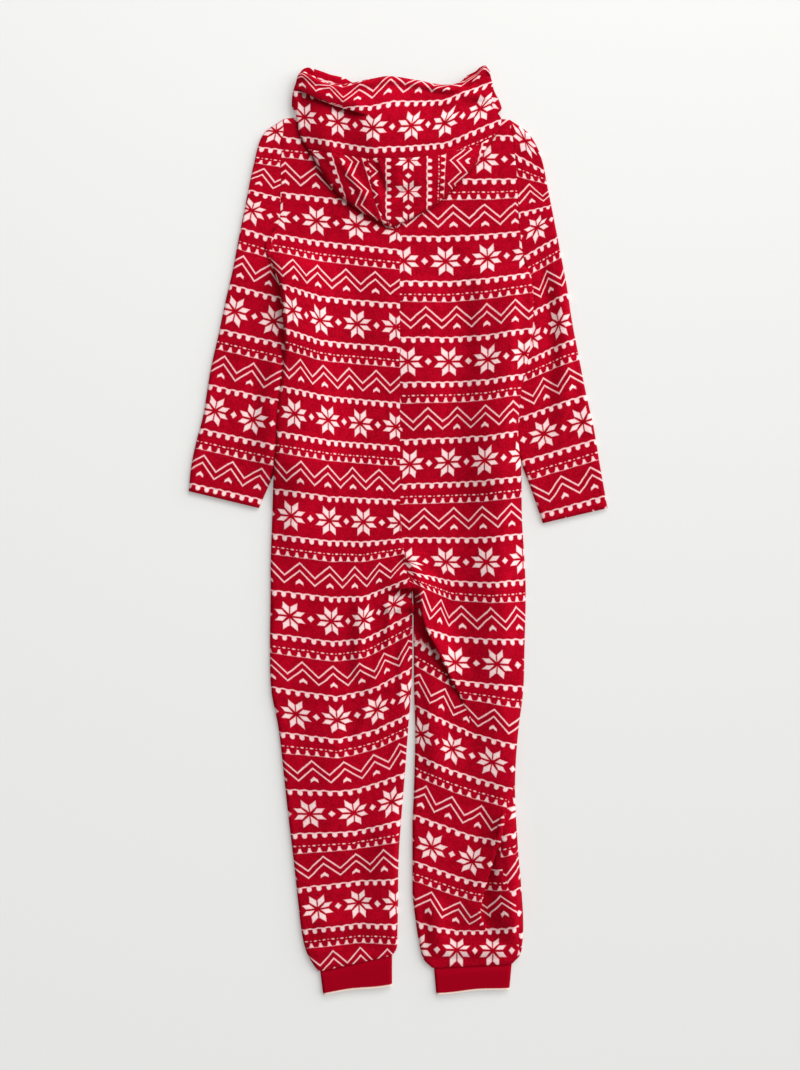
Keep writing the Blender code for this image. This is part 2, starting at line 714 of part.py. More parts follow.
def ankle_cuff(name, material, cuff):
    left = curve((0.0, 1.0), (cuff.top_left, cuff.bottom_left))
    right = curve((0.0, 1.0), (cuff.top_right, cuff.bottom_right))
    half = 2 * ROUND_STEPS + CUFF_COLUMNS
    return flat_tube(name, material, (left, right), 1.0, half, CUFF_ROWS,
                     CUFF_LAYERS, CUFF_WALL, CUFF_ROUND, (), -1)


def main():
    for thing in list(bpy.data.objects):
        bpy.data.objects.remove(thing, do_unlink=True)
    plush = finish("plush_red", (0.45, 0.008, 0.02), 0.9)
    rib = finish("rib_red", (0.40, 0.008, 0.02), 0.85)
    left = Body(LEFT_SECTIONS, LEFT_SIDE, -1)
    right = Body(RIGHT_SECTIONS, RIGHT_SIDE, 1)
    back_panel("back_left", plush, left)
    back_panel("back_right", plush, right)
    sleeve("sleeve_left", plush, LEFT_SLEEVE, left)
    sleeve("sleeve_right", plush, RIGHT_SLEEVE, right)
    ankle_cuff("cuff_left", rib, LEFT_CUFF)
    ankle_cuff("cuff_right", rib, RIGHT_CUFF)
    front_panel("front_left", plush, left, True)
    front = front_panel("front_right", plush, right, False)
    buttons(finish("button_red", (0.30, 0.01, 0.02), 0.4), front)
    hood_outer(plush)
    hood_layers(plush)


main()
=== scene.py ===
"""A hooded onesie pajama of printed plush fleece, laid face down with its hood folded back.

X runs across the body, Y from the ankles up to the hood and Z up from the surface below.
Left and right are the wearer's, at -X and +X. The garment's sizes are millimetres, and
become metres where a mesh is made. Light, view and floor are in metres.
"""

import math
from collections import namedtuple

import bmesh
import bpy
from mathutils import Matrix, Vector, noise


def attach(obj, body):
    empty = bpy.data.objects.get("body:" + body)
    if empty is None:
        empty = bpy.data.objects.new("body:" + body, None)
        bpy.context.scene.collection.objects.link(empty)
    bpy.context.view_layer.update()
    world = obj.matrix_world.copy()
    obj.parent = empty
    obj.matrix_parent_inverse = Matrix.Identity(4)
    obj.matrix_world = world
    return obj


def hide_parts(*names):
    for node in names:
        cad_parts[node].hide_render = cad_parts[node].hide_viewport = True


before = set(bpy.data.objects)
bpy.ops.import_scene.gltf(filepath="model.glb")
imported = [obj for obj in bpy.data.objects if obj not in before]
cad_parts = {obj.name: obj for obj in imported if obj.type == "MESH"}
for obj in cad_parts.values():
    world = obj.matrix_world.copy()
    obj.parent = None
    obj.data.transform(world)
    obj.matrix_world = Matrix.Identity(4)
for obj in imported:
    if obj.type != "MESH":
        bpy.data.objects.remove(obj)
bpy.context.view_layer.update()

# ---------------------------------------------------------------- surface, light and view
# A seamless sheet of pale paper, lit by a broad soft window to the right and a soft panel
# under the ceiling beyond the hood, and looked at from straight above.

scene = bpy.context.scene
camera_data = bpy.data.cameras.new("view")
camera_data.lens = 81.6
camera_data.sensor_width = 36.0
camera_data.clip_end = 50.0
camera = bpy.data.objects.new("view", camera_data)
camera.location = (0.0041, -0.0074, 4.015)
scene.collection.objects.link(camera)
scene.camera = camera
scene.view_settings.view_transform = "Standard"


def hang(light, place, towards):
    """Put a light at a place, turned to shine in a direction."""
    holder = bpy.data.objects.new(light.name, light)
    holder.location = place
    holder.rotation_euler = Vector(towards).to_track_quat("-Z", "Y").to_euler()
    scene.collection.objects.link(holder)


panel = bpy.data.lights.new("ceiling", "AREA")
panel.shape = "RECTANGLE"
panel.size, panel.size_y = 2.2, 1.2
panel.energy = 34.0
hang(panel, (0.5, 2.1, 1.9), (-0.5, -1.9, -1.9))

window = bpy.data.lights.new("window", "SUN")
window.energy = 3.3
window.angle = 1.15
hang(window, (0.0, 0.0, 0.0), (-0.80, -0.42, -0.62))

room = bpy.data.worlds.new("room")
room.use_nodes = True
room_light = room.node_tree.nodes["Background"].inputs
room_light["Color"].default_value = (1.0, 1.0, 0.97, 1.0)
room_light["Strength"].default_value = 0.24
scene.world = room


def make_object(mesh, name, material=None):
    """Turn a finished bmesh into an object of the scene."""
    data = bpy.data.meshes.new(name)
    mesh.to_mesh(data)
    mesh.free()
    if material:
        data.materials.append(material)
    made = bpy.data.objects.new(name, data)
    scene.collection.objects.link(made)
    return made


paper = bpy.data.materials.new("pale_paper")
paper.use_nodes = True
paper_shader = paper.node_tree.nodes["Principled BSDF"].inputs
paper_shader["Base Color"].default_value = (0.52, 0.52, 0.51, 1)
paper_shader["Roughness"].default_value = 0.9
paper_shader["Emission Color"].default_value = (1.0, 1.0, 0.985, 1)
paper_shader["Emission Strength"].default_value = 0.28
sheet = bmesh.new()
bmesh.ops.create_grid(sheet, x_segments=2, y_segments=2, size=8.0)
bmesh.ops.translate(sheet, verts=sheet.verts, vec=(0.0, 0.0, -0.0004))
make_object(sheet, "pale_floor", paper)

# ---------------------------------------------------------------- body
# Back and front, each cut in a left and a right half from the shoulder to the ankle, joined
# by a centre seam, side seams and inseams. Coral fleece: a short dense pile on a knitted
# base, dyed red, with its rows of stars and zigzags left pale.

MM = 0.001
RED = (0.47, 0.0006, 0.0150, 1.0)
DEEP_RED = (0.28, 0.0, 0.0070, 1.0)
TIP_RED = (0.66, 0.010, 0.040, 1.0)
PALE = (0.92, 0.74, 0.73, 1.0)
PINK = (0.86, 0.36, 0.39, 1.0)
PINK_SPECK = (0.86, 0.50, 0.50, 1.0)


class Socket:
    """A value in a material's nodes that can be written in expressions."""

    def __init__(self, tree, link=None):
        self.tree, self.link = tree, link

    def node(self, kind, values, output=0, **settings):
        """Add a node of a type, with its settings, then the values or links of its inputs."""
        made = self.tree.nodes.new(kind)
        for name, value in settings.items():
            setattr(made, name, value)
        for key, value in values.items():
            if isinstance(value, Socket):
                self.tree.links.new(value.link, made.inputs[key])
            else:
                made.inputs[key].default_value = value
        return Socket(self.tree, made.outputs[output])

    def into(self, shader, name):
        self.tree.links.new(self.link, shader.inputs[name])

    def math(self, operation, *values):
        return self.node("ShaderNodeMath", dict(enumerate((self, *values))), operation=operation)

    def __add__(self, other):
        return self.math("ADD", other)

    __radd__ = __add__

    def __sub__(self, other):
        return self.math("SUBTRACT", other)

    def __rsub__(self, other):
        return self.math("MULTIPLY", -1.0).math("ADD", other)

    def __mul__(self, other):
        return self.math("MULTIPLY", other)

    __rmul__ = __mul__

    def __abs__(self):
        return self.math("ABSOLUTE")

    def __or__(self, other):
        """The greater of two values: inside one shape or the other."""
        return self.math("MAXIMUM", other)

    def __and__(self, other):
        """The lesser of two values: inside both shapes."""
        return self.math("MINIMUM", other)

    def clamp(self, low, high):
        return (self | low) & high

    def wrap(self, period):
        """Distance past the nearest multiple of a period, from minus to plus half of it."""
        return self.math("WRAP", period / 2, -period / 2)

    def mix(self, low, high):
        """Colour that runs from low to high as this value goes from 0 to 1."""
        return self.node("ShaderNodeMix", {0: self, 6: low, 7: high}, 2, data_type="RGBA")

    def noise(self, scale, detail=2.0):
        """Cloudy value about 0.5, read at this place."""
        return self.node("ShaderNodeTexNoise", {"Vector": self, "Scale": scale, "Detail": detail})

    def bump(self, shader, strength, distance):
        """Raise a shader's surface by this height."""
        values = {"Height": self, "Strength": strength, "Distance": distance}
        self.node("ShaderNodeBump", values).into(shader, "Normal")


def new_finish(name, roughness):
    """Return a new material, its shader, and the place on a piece as nodes read it."""
    material = bpy.data.materials.new(name)
    material.use_nodes = True
    shader = material.node_tree.nodes["Principled BSDF"]
    shader.inputs["Roughness"].default_value = roughness
    return material, shader, Socket(material.node_tree).node("ShaderNodeTexCoord", {}, output=3)


def print_place(place):
    """Return a piece's own place in its print or knit, across and down."""
    uv = place.node("ShaderNodeUVMap", {}, uv_map="print")
    return [uv.node("ShaderNodeSeparateXYZ", {0: uv}, output=k) for k in (0, 1)]


# One repeat of the print: how far apart its shapes are across the cloth, and where the
# middle of each row is below the row of stars.
STAR_PITCH, ROW_PITCH = 68.5, 166.0
SMALL_PITCH = STAR_PITCH * 3 / 13
ZIGZAG_PITCH = STAR_PITCH * 3 / 4
ZIGZAG_RISE = 22.6
HALF_ROUND_ROWS = (35.0, 127.4)
DASH_ROW, TRIANGLE_ROW = 55.0, 67.2
ZIGZAG_ROWS = (75.6, 88.0)
ARROW_ROW = 107.5


def star_print(across, down):
    """How far a place is inside the pale print, from its millimetres across and down."""

    def row(middle):
        return (down - middle).wrap(ROW_PITCH)

    def petals(a, b, inner, side, foot, spread, cap, lean):
        sides = (a - inner) & (side - a)
        return sides & ((b - a * spread - foot) * 0.75) & ((cap + a * lean - b) * 0.77)

    def half_rounds(middle):
        x, y = across.wrap(SMALL_PITCH), row(middle)
        low = (y - 3.6) | 0.0
        drop = (4.1 - (x * x + low * low).math("SQRT")) & (y + 1.0)
        return drop | (1.3 - abs(y + 0.3 + abs(x) * 0.18))

    def zigzag(middle):
        x = abs((across + 1.5).wrap(ZIGZAG_PITCH))
        return (1.75 - abs(row(middle) - x * (ZIGZAG_RISE * 2 / ZIGZAG_PITCH))) * 0.75

    x, y = abs(across.wrap(STAR_PITCH)), abs(down.wrap(ROW_PITCH))
    star = petals(x, y, 0.9, 11.9, 2.9, 0.8, 14.7, 0.77)
    star = star | petals(y, x, 1.6, 9.3, 3.4, 0.95, 16.6, 0.9)
    spot = (5.9 - abs((across + STAR_PITCH / 2).wrap(STAR_PITCH)) - y) * 0.7

    small = across + 2.5
    x, y = small.wrap(SMALL_PITCH), row(DASH_ROW)
    dashes = 1.7 - (x * x * 0.33 + y * y * 1.7).math("SQRT")
    x = abs((small + SMALL_PITCH / 2).wrap(SMALL_PITCH))
    dots = 0.8 - (x * x * 0.35 + y * y * 1.2).math("SQRT")
    y = row(TRIANGLE_ROW)
    high = y + 8.2
    triangles = (0.0 - y) & high & ((1.8 + high * 0.08 + high * high * 0.038 - x) * 0.9)
    thread = 0.2 - abs(y + 0.1) * 0.7

    x, y = abs((across + 1.5).wrap(ZIGZAG_PITCH)), row(ARROW_ROW)
    shapes = ((y + 5.2 - x * 0.85) * 0.76) & ((1.4 + x * 0.55 - y) * 0.87) & (6.4 - x)
    for shape in (star, spot, dashes, dots, triangles, thread,
                  *map(half_rounds, HALF_ROUND_ROWS), *map(zigzag, ZIGZAG_ROWS)):
        shapes = shapes | shape
    return shapes


def plush(name):
    """Mottled red pile with brighter tips, and pale print whose edges fray into it."""
    material, shader, place = new_finish(name, 0.88)
    shader.inputs["Specular IOR Level"].default_value = 0.03
    shader.inputs["Sheen Weight"].default_value = 0.10
    shader.inputs["Sheen Roughness"].default_value = 0.4
    shader.inputs["Sheen Tint"].default_value = (1.0, 0.22, 0.26, 1.0)
    pile, tuft, nap, cloud = (place.noise(620.0), place.noise(300.0), place.noise(90.0, 3.0),
                              place.noise(14.0))
    mottle = (nap - 0.5) * 1.3 + (tuft - 0.5) * 1.5 + (pile - 0.5) * 0.8 + (cloud - 0.5) * 0.8
    ground = (mottle + 0.47).mix(DEEP_RED, RED)
    ground = ((pile - 0.57) * 3.0).clamp(0.0, 0.4).mix(ground, TIP_RED)
    across, down = print_place(place)
    sway = (place.noise(45.0, 1.0) - 0.5) * 2.4
    inside = star_print(across * STAR_PITCH + sway, down * ROW_PITCH + sway)
    inside = inside + place.noise(420.0, 1.0) - 0.5
    pale = (inside * 0.5).clamp(0.0, 1.0).mix(PINK, PALE)
    pale = ((pile - 0.5) * 1.6 + 0.25).clamp(0.0, 0.7).mix(pale, PINK_SPECK)
    (inside * 1.15 + 0.42).clamp(0.0, 1.0).mix(ground, pale).into(shader, "Base Color")
    (pile * 0.5 + tuft * 0.8 + nap).bump(shader, 0.55, 0.0012)
    return material


printed_plush = plush("printed_plush")


def smoothstep(low, high, value):
    share = min(1.0, max(0.0, (value - low) / (high - low)))
    return share * share * (3.0 - 2.0 * share)


def close(distance, radius):
    """One on a line, falling to nothing at this distance from it."""
    return 1.0 - smoothstep(0.0, radius, distance)


def bend(distance, radius):
    """Share of its full height that cloth has this far in from a seam it bends down to."""
    inward = 1.0 - min(1.0, max(0.0, distance / radius))
    return math.sqrt(max(0.0, 1.0 - inward * inward))


def curve(knots, points):
    """Return a function that runs smoothly through points, one for each knot."""
    points = [Vector(p) for p in points]

    def slope(i):
        low, high = max(i - 1, 0), min(i + 1, len(points) - 1)
        return (points[high] - points[low]) / (knots[high] - knots[low])

    slopes = [slope(i) for i in range(len(points))]

    def at(place):
        i = 0
        while i < len(knots) - 2 and place > knots[i + 1]:
            i += 1
        span = knots[i + 1] - knots[i]
        t = min(1.0, max(0.0, (place - knots[i]) / span))
        return (
            points[i] * (2 * t**3 - 3 * t**2 + 1)
            + slopes[i] * span * (t**3 - 2 * t**2 + t)
            + points[i + 1] * (3 * t**2 - 2 * t**3)
            + slopes[i + 1] * span * (t**3 - t**2)
        )

    return at


def steps_along(points):
    """Distance to each point from the first."""
    knots = [0.0]
    for a, b in zip(points, points[1:]):
        knots.append(knots[-1] + math.dist(a, b))
    return knots


def line_through(points):
    """A smooth line in the plane, and its length, by the distance along it."""
    knots = steps_along(points)
    return curve(knots, points), knots[-1]


def spaced(share, even):
    """Where a column goes: even is the share of its spacing that is even, and the rest
    closes up towards both edges."""
    return even * share + (1 - even) * 0.5 * (1 - math.cos(math.pi * share))


def ripple(x, y, size, seed):
    """Soft uneven height of cloth that was smoothed out by hand."""
    wide = noise.noise(Vector((x / size, y / (size * 1.5), seed)))
    fine = noise.noise(Vector((x / (size * 0.32), y / (size * 0.45), seed + 7.3)))
    return wide + 0.35 * fine


def star_map(rows):
    """Return a function from a place to its stars across and rows down in the print. Each row
    gives its number, the number of its first star and the middles of its stars. A number
    between two rows is a smaller row of the repeat, with a middle where a star would be."""
    lines = []
    for number, first, *stars in rows:
        stars = [Vector(star) for star in stars]
        if len(stars) == 1:
            stars.append(stars[0] + Vector((STAR_PITCH, 0.0)))
        lines.append((number, first, stars))

    def on_line(line, x, y):
        number, first, stars = line
        i = 0
        while i < len(stars) - 2 and x > stars[i + 1].x:
            i += 1
        a, b = stars[i], stars[i + 1]
        run = b - a
        share = (x - a.x) / run.x
        pitch = run.x / STAR_PITCH
        if share < 0 or share > 1:
            past = share if share < 0 else share - 1
            share = (0 if share < 0 else 1) + past * (0.5 + 0.5 * pitch)
        return first + i + share, y - (a.y + run.y * (x - a.x) / run.x)

    def at(x, y):
        found = [(on_line(line, x, y), line[0]) for line in lines]
        k = 0
        while k < len(found) - 2 and found[k + 1][0][1] < 0:
            k += 1
        (u0, d0), n0 = found[k]
        (u1, d1), n1 = found[k + 1]
        share = d0 / (d0 - d1)
        held = min(1.0, max(0.0, share))
        return u0 + (u1 - u0) * held, n0 + (n1 - n0) * share

    return at


def lay(name, across, along, shape, print_at, material, wall=2.6, tube=False, turned=None):
    """Lay a piece of cloth: its outer face as a grid, then its wall behind it. print_at gives
    a corner's place in the print, or turned gives such a function for a whole face."""
    mesh = bmesh.new()
    bmesh.ops.create_grid(mesh, x_segments=across, y_segments=along, size=0.5)
    dots = {}
    for vert in mesh.verts:
        place, dots[vert] = shape(vert.co.x + 0.5, vert.co.y + 0.5)
        vert.co = place * MM
    stars = mesh.loops.layers.uv.new("print")
    for face in mesh.faces:
        at = turned([dots[vert] for vert in face.verts]) if turned else print_at
        for loop in face.loops:
            loop[stars].uv = at(*dots[loop.vert])
    if tube:
        bmesh.ops.remove_doubles(mesh, verts=mesh.verts, dist=2e-6)
    for edge in mesh.edges:
        edge.smooth = not edge.is_boundary
    bmesh.ops.recalc_face_normals(mesh, faces=mesh.faces)
    mesh.normal_update()
    top = max(mesh.faces, key=lambda f: f.calc_center_median().z * (abs(f.normal.z) > 0.7))
    if top.normal.z < 0:
        bmesh.ops.reverse_faces(mesh, faces=mesh.faces)
    piece = make_object(mesh, name, material)
    piece.data.shade_smooth()
    thick = piece.modifiers.new("wall", "SOLIDIFY")
    thick.thickness = wall * MM
    thick.offset = -1.0
    thick.use_even_offset = False
    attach(piece, "root")
    return piece


# Heights of the back's outer face where it lies flat, of the seams and folded edges that it
# bends down to, and of the lift where its side lies over a sleeve, which falls off inwards.
LAYERS = 9.4
SEAM_HEIGHT, HALF_GAP = 4.3, 0.15
SLEEVE_LIFT = 9.9
LIFT_FLAT, LIFT_SLOPE = 40.0, 84.0
CENTRE_X = 4.0
CROTCH_Y, INSEAM_X = -98.0, 24.5
SEAM_LEAVES_Y = 60.0
EDGE_ROUND = 6.0

# The outer and inner edge of each half, from the shoulder down to the ankle.
Section = namedtuple("Section", "outer_x outer_y inner_x inner_y")
LEFT_SECTIONS = [Section(*ends) for ends in (
    (-187, 681, 4, 700), (-191, 628, 4, 644), (-193, 562, 4, 570), (-196, 509, 4, 509),
    (-217, 470, 4, 469), (-207, 440, 4, 440), (-195, 405, 4, 400), (-189, 347, 4, 344),
    (-187, 298, 4, 295), (-192, 248, 4, 245), (-200, 191, 4, 187), (-201, 141, 4, 138),
    (-205, 83, 6, 80), (-208, 1, 7, 1), (-210, -57, 14, -52), (-210, -106, 24.5, -98),
    (-211, -197, 24.8, -189), (-209, -263, 23, -260), (-197, -326, 18, -323),
    (-189, -395, 13, -392), (-181, -469, 7, -466), (-172, -544, 2, -540), (-164, -618, 1, -615),
    (-158, -667, 0, -659), (-149, -701, -1, -689), (-132, -729, -8, -702),
)]
RIGHT_SECTIONS = [Section(*ends) for ends in (
    (186, 679, 4, 700), (193, 628, 4, 644), (198, 570, 4, 570), (201, 509, 4, 509),
    (209, 450, 4, 456), (222, 413, 4, 413), (224, 372, 4, 372), (222, 323, 4, 319),
    (212, 270, 4, 262), (202, 210, 4, 202), (199, 156, 4, 148), (204, 103, 6, 92), (206, 17, 7, 9),
    (210, -49, 14, -52), (212, -103, 24.5, -98), (210, -194, 26.5, -189), (208, -263, 27, -260),
    (200, -329, 29, -326), (195, -395, 28, -395), (195, -453, 26, -453), (200, -535, 22, -524),
    (205, -593, 24, -593), (208, -651, 30, -646), (206, -686, 36, -684), (202, -703, 43, -709),
    (190, -716, 57, -723),
)]

# Y of the underarm, and of where the lift over a sleeve starts, is full, falls and ends.
Side = namedtuple("Side", "underarm lift_top lift_full lift_low lift_end")
LEFT_SIDE = Side(467, 462, 420, 96, 30)
RIGHT_SIDE = Side(450, 446, 404, 98, 36)

# Each fold runs from its start to its end, bowed to its left, and falls away over its widths.
Fold = namedtuple("Fold", "start_x start_y end_x end_y bow left right height")
BODY_FOLDS = [Fold(*fold) for fold in (
    (-182, 488, -184, 250, 0, 96, 40, 16.0), (-160, 300, -156, 50, 0, 90, 90, 9.0),
    (-168, 170, -165, -80, 0, 85, 40, 7.0), (0, 470, 2, 200, 0, 60, 78, 5.0),
    (52, 450, 50, 130, 0, 44, 60, 6.0), (136, 440, 132, 210, 0, 24, 22, 3.5),
    (196, 440, 172, 120, 0, 20, 84, 12.0), (168, 240, 172, -330, 0, 44, 78, 17.0),
    (172, -250, 182, -480, 0, 36, 60, 9.0), (4, -24, 50, -100, 0, 32, 14, 7.0),
    (-30, -128, 34, -124, 0, 14, 14, 7.0), (-60, -85, -62, -268, 0, 26, 24, 7.0),
    (-12, -112, -16, -215, 0, 12, 14, 4.0), (8, -125, 6, -300, 0, 9, 11, 3.5),
    (-26, -181, -76, -328, 11, 18, 18, 5.0), (4, -262, -90, -366, -22, 18, 22, -5.0),
    (-120, -180, -110, -560, 0, 48, 60, 4.0), (-4, -430, -12, -700, 0, 14, 60, 9.0),
    (-160, -655, -4, -640, 0, 30, 50, 7.0), (-150, -700, -90, -690, 0, 10, 12, 3.0),
    (50, -200, 66, -440, 0, 34, 28, 7.0), (40, -694, 202, -694, 0, 16, 16, 5.0),
    (60, -600, 70, -700, 0, 26, 24, 6.0), (192, -436, 189, -706, 0, 19, 44, 17.0),
    (176, -470, 146, -640, 0, 22, 8, -7.0),
)]

# A lap is a fold that hangs over the cloth next to it. Its line has the upper cloth on its
# left, which overhangs by reach, stands lift high, falls back over width and fades out over
# the last share of the line.
Lap = namedtuple("Lap", "reach lift width fade line")
SEAT_LAP = Lap(6.5, 18.0, 46.0, 0.55, (
    (-26, -112), (-14, -104), (2, -99), (16, -97), (26, -97), (33, -102), (36, -112), (38, -129),
    (41, -146), (46, -162), (54, -178), (62, -193), (71, -211), (79, -228), (87, -246), (95, -261),
    (105, -279), (115, -299), (124, -321)))
SHIN_LAP = Lap(5.0, 9.0, 46.0, 0.25, (
    (150, -668), (143, -650), (139, -634), (139, -619), (142.5, -602), (147.5, -584),
    (154, -563), (161.5, -538), (168, -517), (170.5, -502), (174.5, -479), (181, -456),
    (185, -443), (190, -425)))

# The leg's side seam has rolled to the back below the knee: Y and distance from the edge.
ROLLED_SEAM = (
    (-400, 4), (-440, 6), (-460, 10), (-516, 16), (-560, 20), (-588, 19), (-610, 13), (-640, 9),
    (-700, 5), (-730, 4))


def relief(folds, x, y):
    """Height that the folds add at a place."""
    total = 0.0
    for fold in folds:
        run_x, run_y = fold.end_x - fold.start_x, fold.end_y - fold.start_y
        gap_x, gap_y = x - fold.start_x, y - fold.start_y
        square = run_x * run_x + run_y * run_y
        along = (gap_x * run_x + gap_y * run_y) / square
        if not 0.0 < along < 1.0:
            continue
        across = (run_x * gap_y - run_y * gap_x) / math.sqrt(square)
        across -= fold.bow * 4 * along * (1 - along)
        share = across / (fold.left if across > 0 else fold.right)
        if abs(share) < 1.0:
            ends = smoothstep(0, 0.28, along) * smoothstep(0, 0.28, 1 - along)
            total += fold.height * ends * 0.5 * (1 + math.cos(math.pi * share))
    return total


def lap_over(lap):
    """Return what a lap does to a place: its shift, its height and whether it is above."""
    at, length = line_through(lap.line)
    count = 80
    steps = [at(length * k / count) for k in range(count + 1)]
    near = 90
    low = Vector((min(p.x for p in steps) - near, min(p.y for p in steps) - near))
    high = Vector((max(p.x for p in steps) + near, max(p.y for p in steps) + near))
    taken = 2.6 * lap.reach
    tucked = 1.5

    def over(x, y):
        if not (low.x < x < high.x and low.y < y < high.y):
            return Vector((0, 0)), 0.0, 1.0
        k = min(range(count + 1), key=lambda i: (steps[i].x - x) ** 2 + (steps[i].y - y) ** 2)
        run = (steps[min(count, k + 1)] - steps[max(0, k - 1)]).normalized()
        side = Vector((-run.y, run.x))
        gap = Vector((x, y)) - steps[k]
        s = gap.dot(side)
        along = (k + gap.dot(run) / length * count) / count
        ends = smoothstep(0.0, 0.2, along) * smoothstep(0.0, lap.fade, 1.0 - along)
        if ends <= 0.0:
            past = -gap.dot(run) if k == 0 else gap.dot(run) if k == count else 0.0
            return Vector((0, 0)), 0.0, smoothstep(-8.0 - 1.5 * max(0.0, past), 0.0, s)
        room = taken * ends
        if s >= 0:
            height = lap.lift * 0.5 * (1 + math.cos(math.pi * min(1.0, s / lap.width)))
            return Vector((0, 0)), height * ends, 1.0
        if s > -room:
            q = 1.0 + s / max(room, 1e-6)
            push = -s + lap.reach * ends * math.sin(math.pi * q) * 1.15
            height = lap.lift * smoothstep(0.1, 1.0, q) - tucked * (1 - q)
            return side * push, height * ends, float(q > 0.5)
        fade = close(-room - s, 42.0)
        return side * (room * fade), -tucked * ends * fade, 0.0

    return over


seat_over, shin_over = lap_over(SEAT_LAP), lap_over(SHIN_LAP)

# Rows of stars in the print: the row's number, its first star's number, then the stars.
LEFT_BACK_STARS = (
    (-1, 0, (-132, 677), (-64, 670)),
    (0, 0, (-134, 511.5), (-68.5, 504)),
    (1, -1, (-171.5, 361.5), (-128, 346), (-67, 341)),
    (2, -1, (-169, 192), (-114, 182), (-62, 177)),
    (3, -1, (-175.5, 24), (-112.5, 16), (-56.5, 14)),
    (4, -1, (-178, -142), (-108.5, -150.5), (-55.5, -148), (-7, -122)),
    (5, -1, (-168, -303), (-100, -313.5), (-34, -296), (18, -268.5)),
    (6, -1, (-145, -468), (-71.5, -467), (-9.5, -448)),
    (7, -1, (-132.5, -625), (-63.5, -614.5), (-3, -616)),
    (7.455, -1, (-120.5, -695), (-60, -689), (0, -692.5)),
    (8, -1, (-112, -785), (-56, -779), (0, -782)),
)
RIGHT_BACK_STARS = (
    (-1, 0, (142, 779), (210, 770)),
    (0, 0, (142, 613.5), (212, 612)),
    (1, -2, (10, 445), (79.5, 444.5), (148.5, 449.5), (212.5, 458)),
    (2, -2, (17, 278.5), (85, 278.5), (149, 281.5), (208.5, 291.5)),
    (3, -1, (84, 112.5), (143, 115.5), (205.5, 124)),
    (3.5, -1, (78, 30), (141, 31.5), (205, 38.5)),
    (4, -2, (13, -51), (79.5, -52), (146.5, -52.5), (207, -46.5)),
    (4.455, -2, (56, -106), (90, -123), (155, -128), (210, -125)),
    (5, -2, (30, -206), (95.5, -217.5), (164.5, -220.5)),
    (6, -2, (40, -337), (90, -360.5), (156.5, -382.5)),
    (7, -1, (56, -523), (123.5, -546.5), (181.5, -553)),
    (7.648, -1, (37, -622), (97.5, -644), (158, -653)),
    (7.767, -1, (34, -649), (98, -663), (157, -661), (214, -652)),
    (8, -1, (32, -690), (98, -692), (157, -692.5)),
    (9, -1, (32, -900), (98, -902), (157, -902)),
)
# The cloth that comes out from under the seat is turned a little against the rest.
UNDER_SEAT_STARS = (
    (5.11, -3, (30, -84), (81, -114), (132, -144)),
    (5.2, -3, (21, -176), (72, -206), (123, -236)),
    (5.455, -2, (53, -247), (106, -277), (157, -303)),
    *RIGHT_BACK_STARS[9:],
)
# So is the cloth that comes out from under the lap at the shin.
UNDER_SHIN_STARS = (
    (6, 1, (132, -362), (198, -356)),
    (7, 1, (139, -528), (205, -521)),
    (7.455, 1, (137, -603), (204, -600)),
    (7.648, 1, (143, -632), (211, -628)),
    *RIGHT_BACK_STARS[12:],
)
# Beyond the rolled side seam it is the front that shows.
ROLLED_FRONT_STARS = (
    (5, 0, (104, -313), (173, -296)),
    (6, 0, (138, -478), (207, -461)),
    (7, 0, (166, -640), (234, -622)),
    (8, 0, (200, -806), (268, -788)),
)


def edge_lines(sections, out=0.0):
    """Length of a piece down its middle, and its outer and inner edge by the way along it."""
    out = Vector((out, 0.0))
    outer = [Vector((s.outer_x, s.outer_y)) + out for s in sections]
    inner = [Vector((s.inner_x, s.inner_y)) + out for s in sections]
    knots = steps_along(
        [((s.outer_x + s.inner_x) / 2, (s.outer_y + s.inner_y) / 2) for s in sections])
    return knots[-1], curve(knots, outer), curve(knots, inner)


class Half:
    """Plan of one half of the body: its sections, rounded edges and lift."""

    def __init__(self, sections, side, sign):
        self.length, self.side_line, self.inner_line = edge_lines(sections)
        self.side, self.sign = side, sign

    def section(self, far):
        a, b = self.side_line(far), self.inner_line(far)
        if b.y > CROTCH_Y:
            bent = max(0.0, (SEAM_LEAVES_Y - b.y) / (SEAM_LEAVES_Y - CROTCH_Y))
            b.x = CENTRE_X + (INSEAM_X - CENTRE_X) * bent**2.2
        else:
            b.x = self.sign * max(self.sign * b.x, self.sign * INSEAM_X)
        return a, b + Vector((self.sign * 0.03, 0.0))

    def lift(self, distance, y):
        s = self.side
        rise = smoothstep(s.lift_top, s.lift_full, y) if y > s.lift_low else 1.0
        fall = smoothstep(s.lift_end, s.lift_low, y)
        slope = 1.0 - smoothstep(LIFT_FLAT, LIFT_FLAT + LIFT_SLOPE, distance)
        return SLEEVE_LIFT * rise * fall * slope

    def edges(self, distance, width, far, x, y):
        """Share of its full height at a place: it bends down to side, inseam and shoulder."""
        side = smoothstep(self.side.underarm + 6, self.side.underarm - 6, y)
        leg = smoothstep(CROTCH_Y + 6, CROTCH_Y - 8, y)
        share = 1.0 - side * (1.0 - bend(distance, EDGE_ROUND))
        share *= 1.0 - leg * (1.0 - bend(width - distance, EDGE_ROUND))
        shoulder = smoothstep(62.0, 95.0, abs(x - CENTRE_X))
        return share * (1.0 - shoulder * (1.0 - bend(far, EDGE_ROUND)))


rolled_seam = curve([-y for y, _ in ROLLED_SEAM], [(d, 0.0) for _, d in ROLLED_SEAM])
rolled_print = star_map(ROLLED_FRONT_STARS)
BACK_SPACING = 0.82
SEAM_COLUMN = 4 / 60
SEAM_SHARE = spaced(SEAM_COLUMN, BACK_SPACING)


def mixed(upper, lower, above):
    """Place in the print where one cloth goes over into the one below it."""
    return [a * above + b * (1 - above) for a, b in zip(upper, lower)]


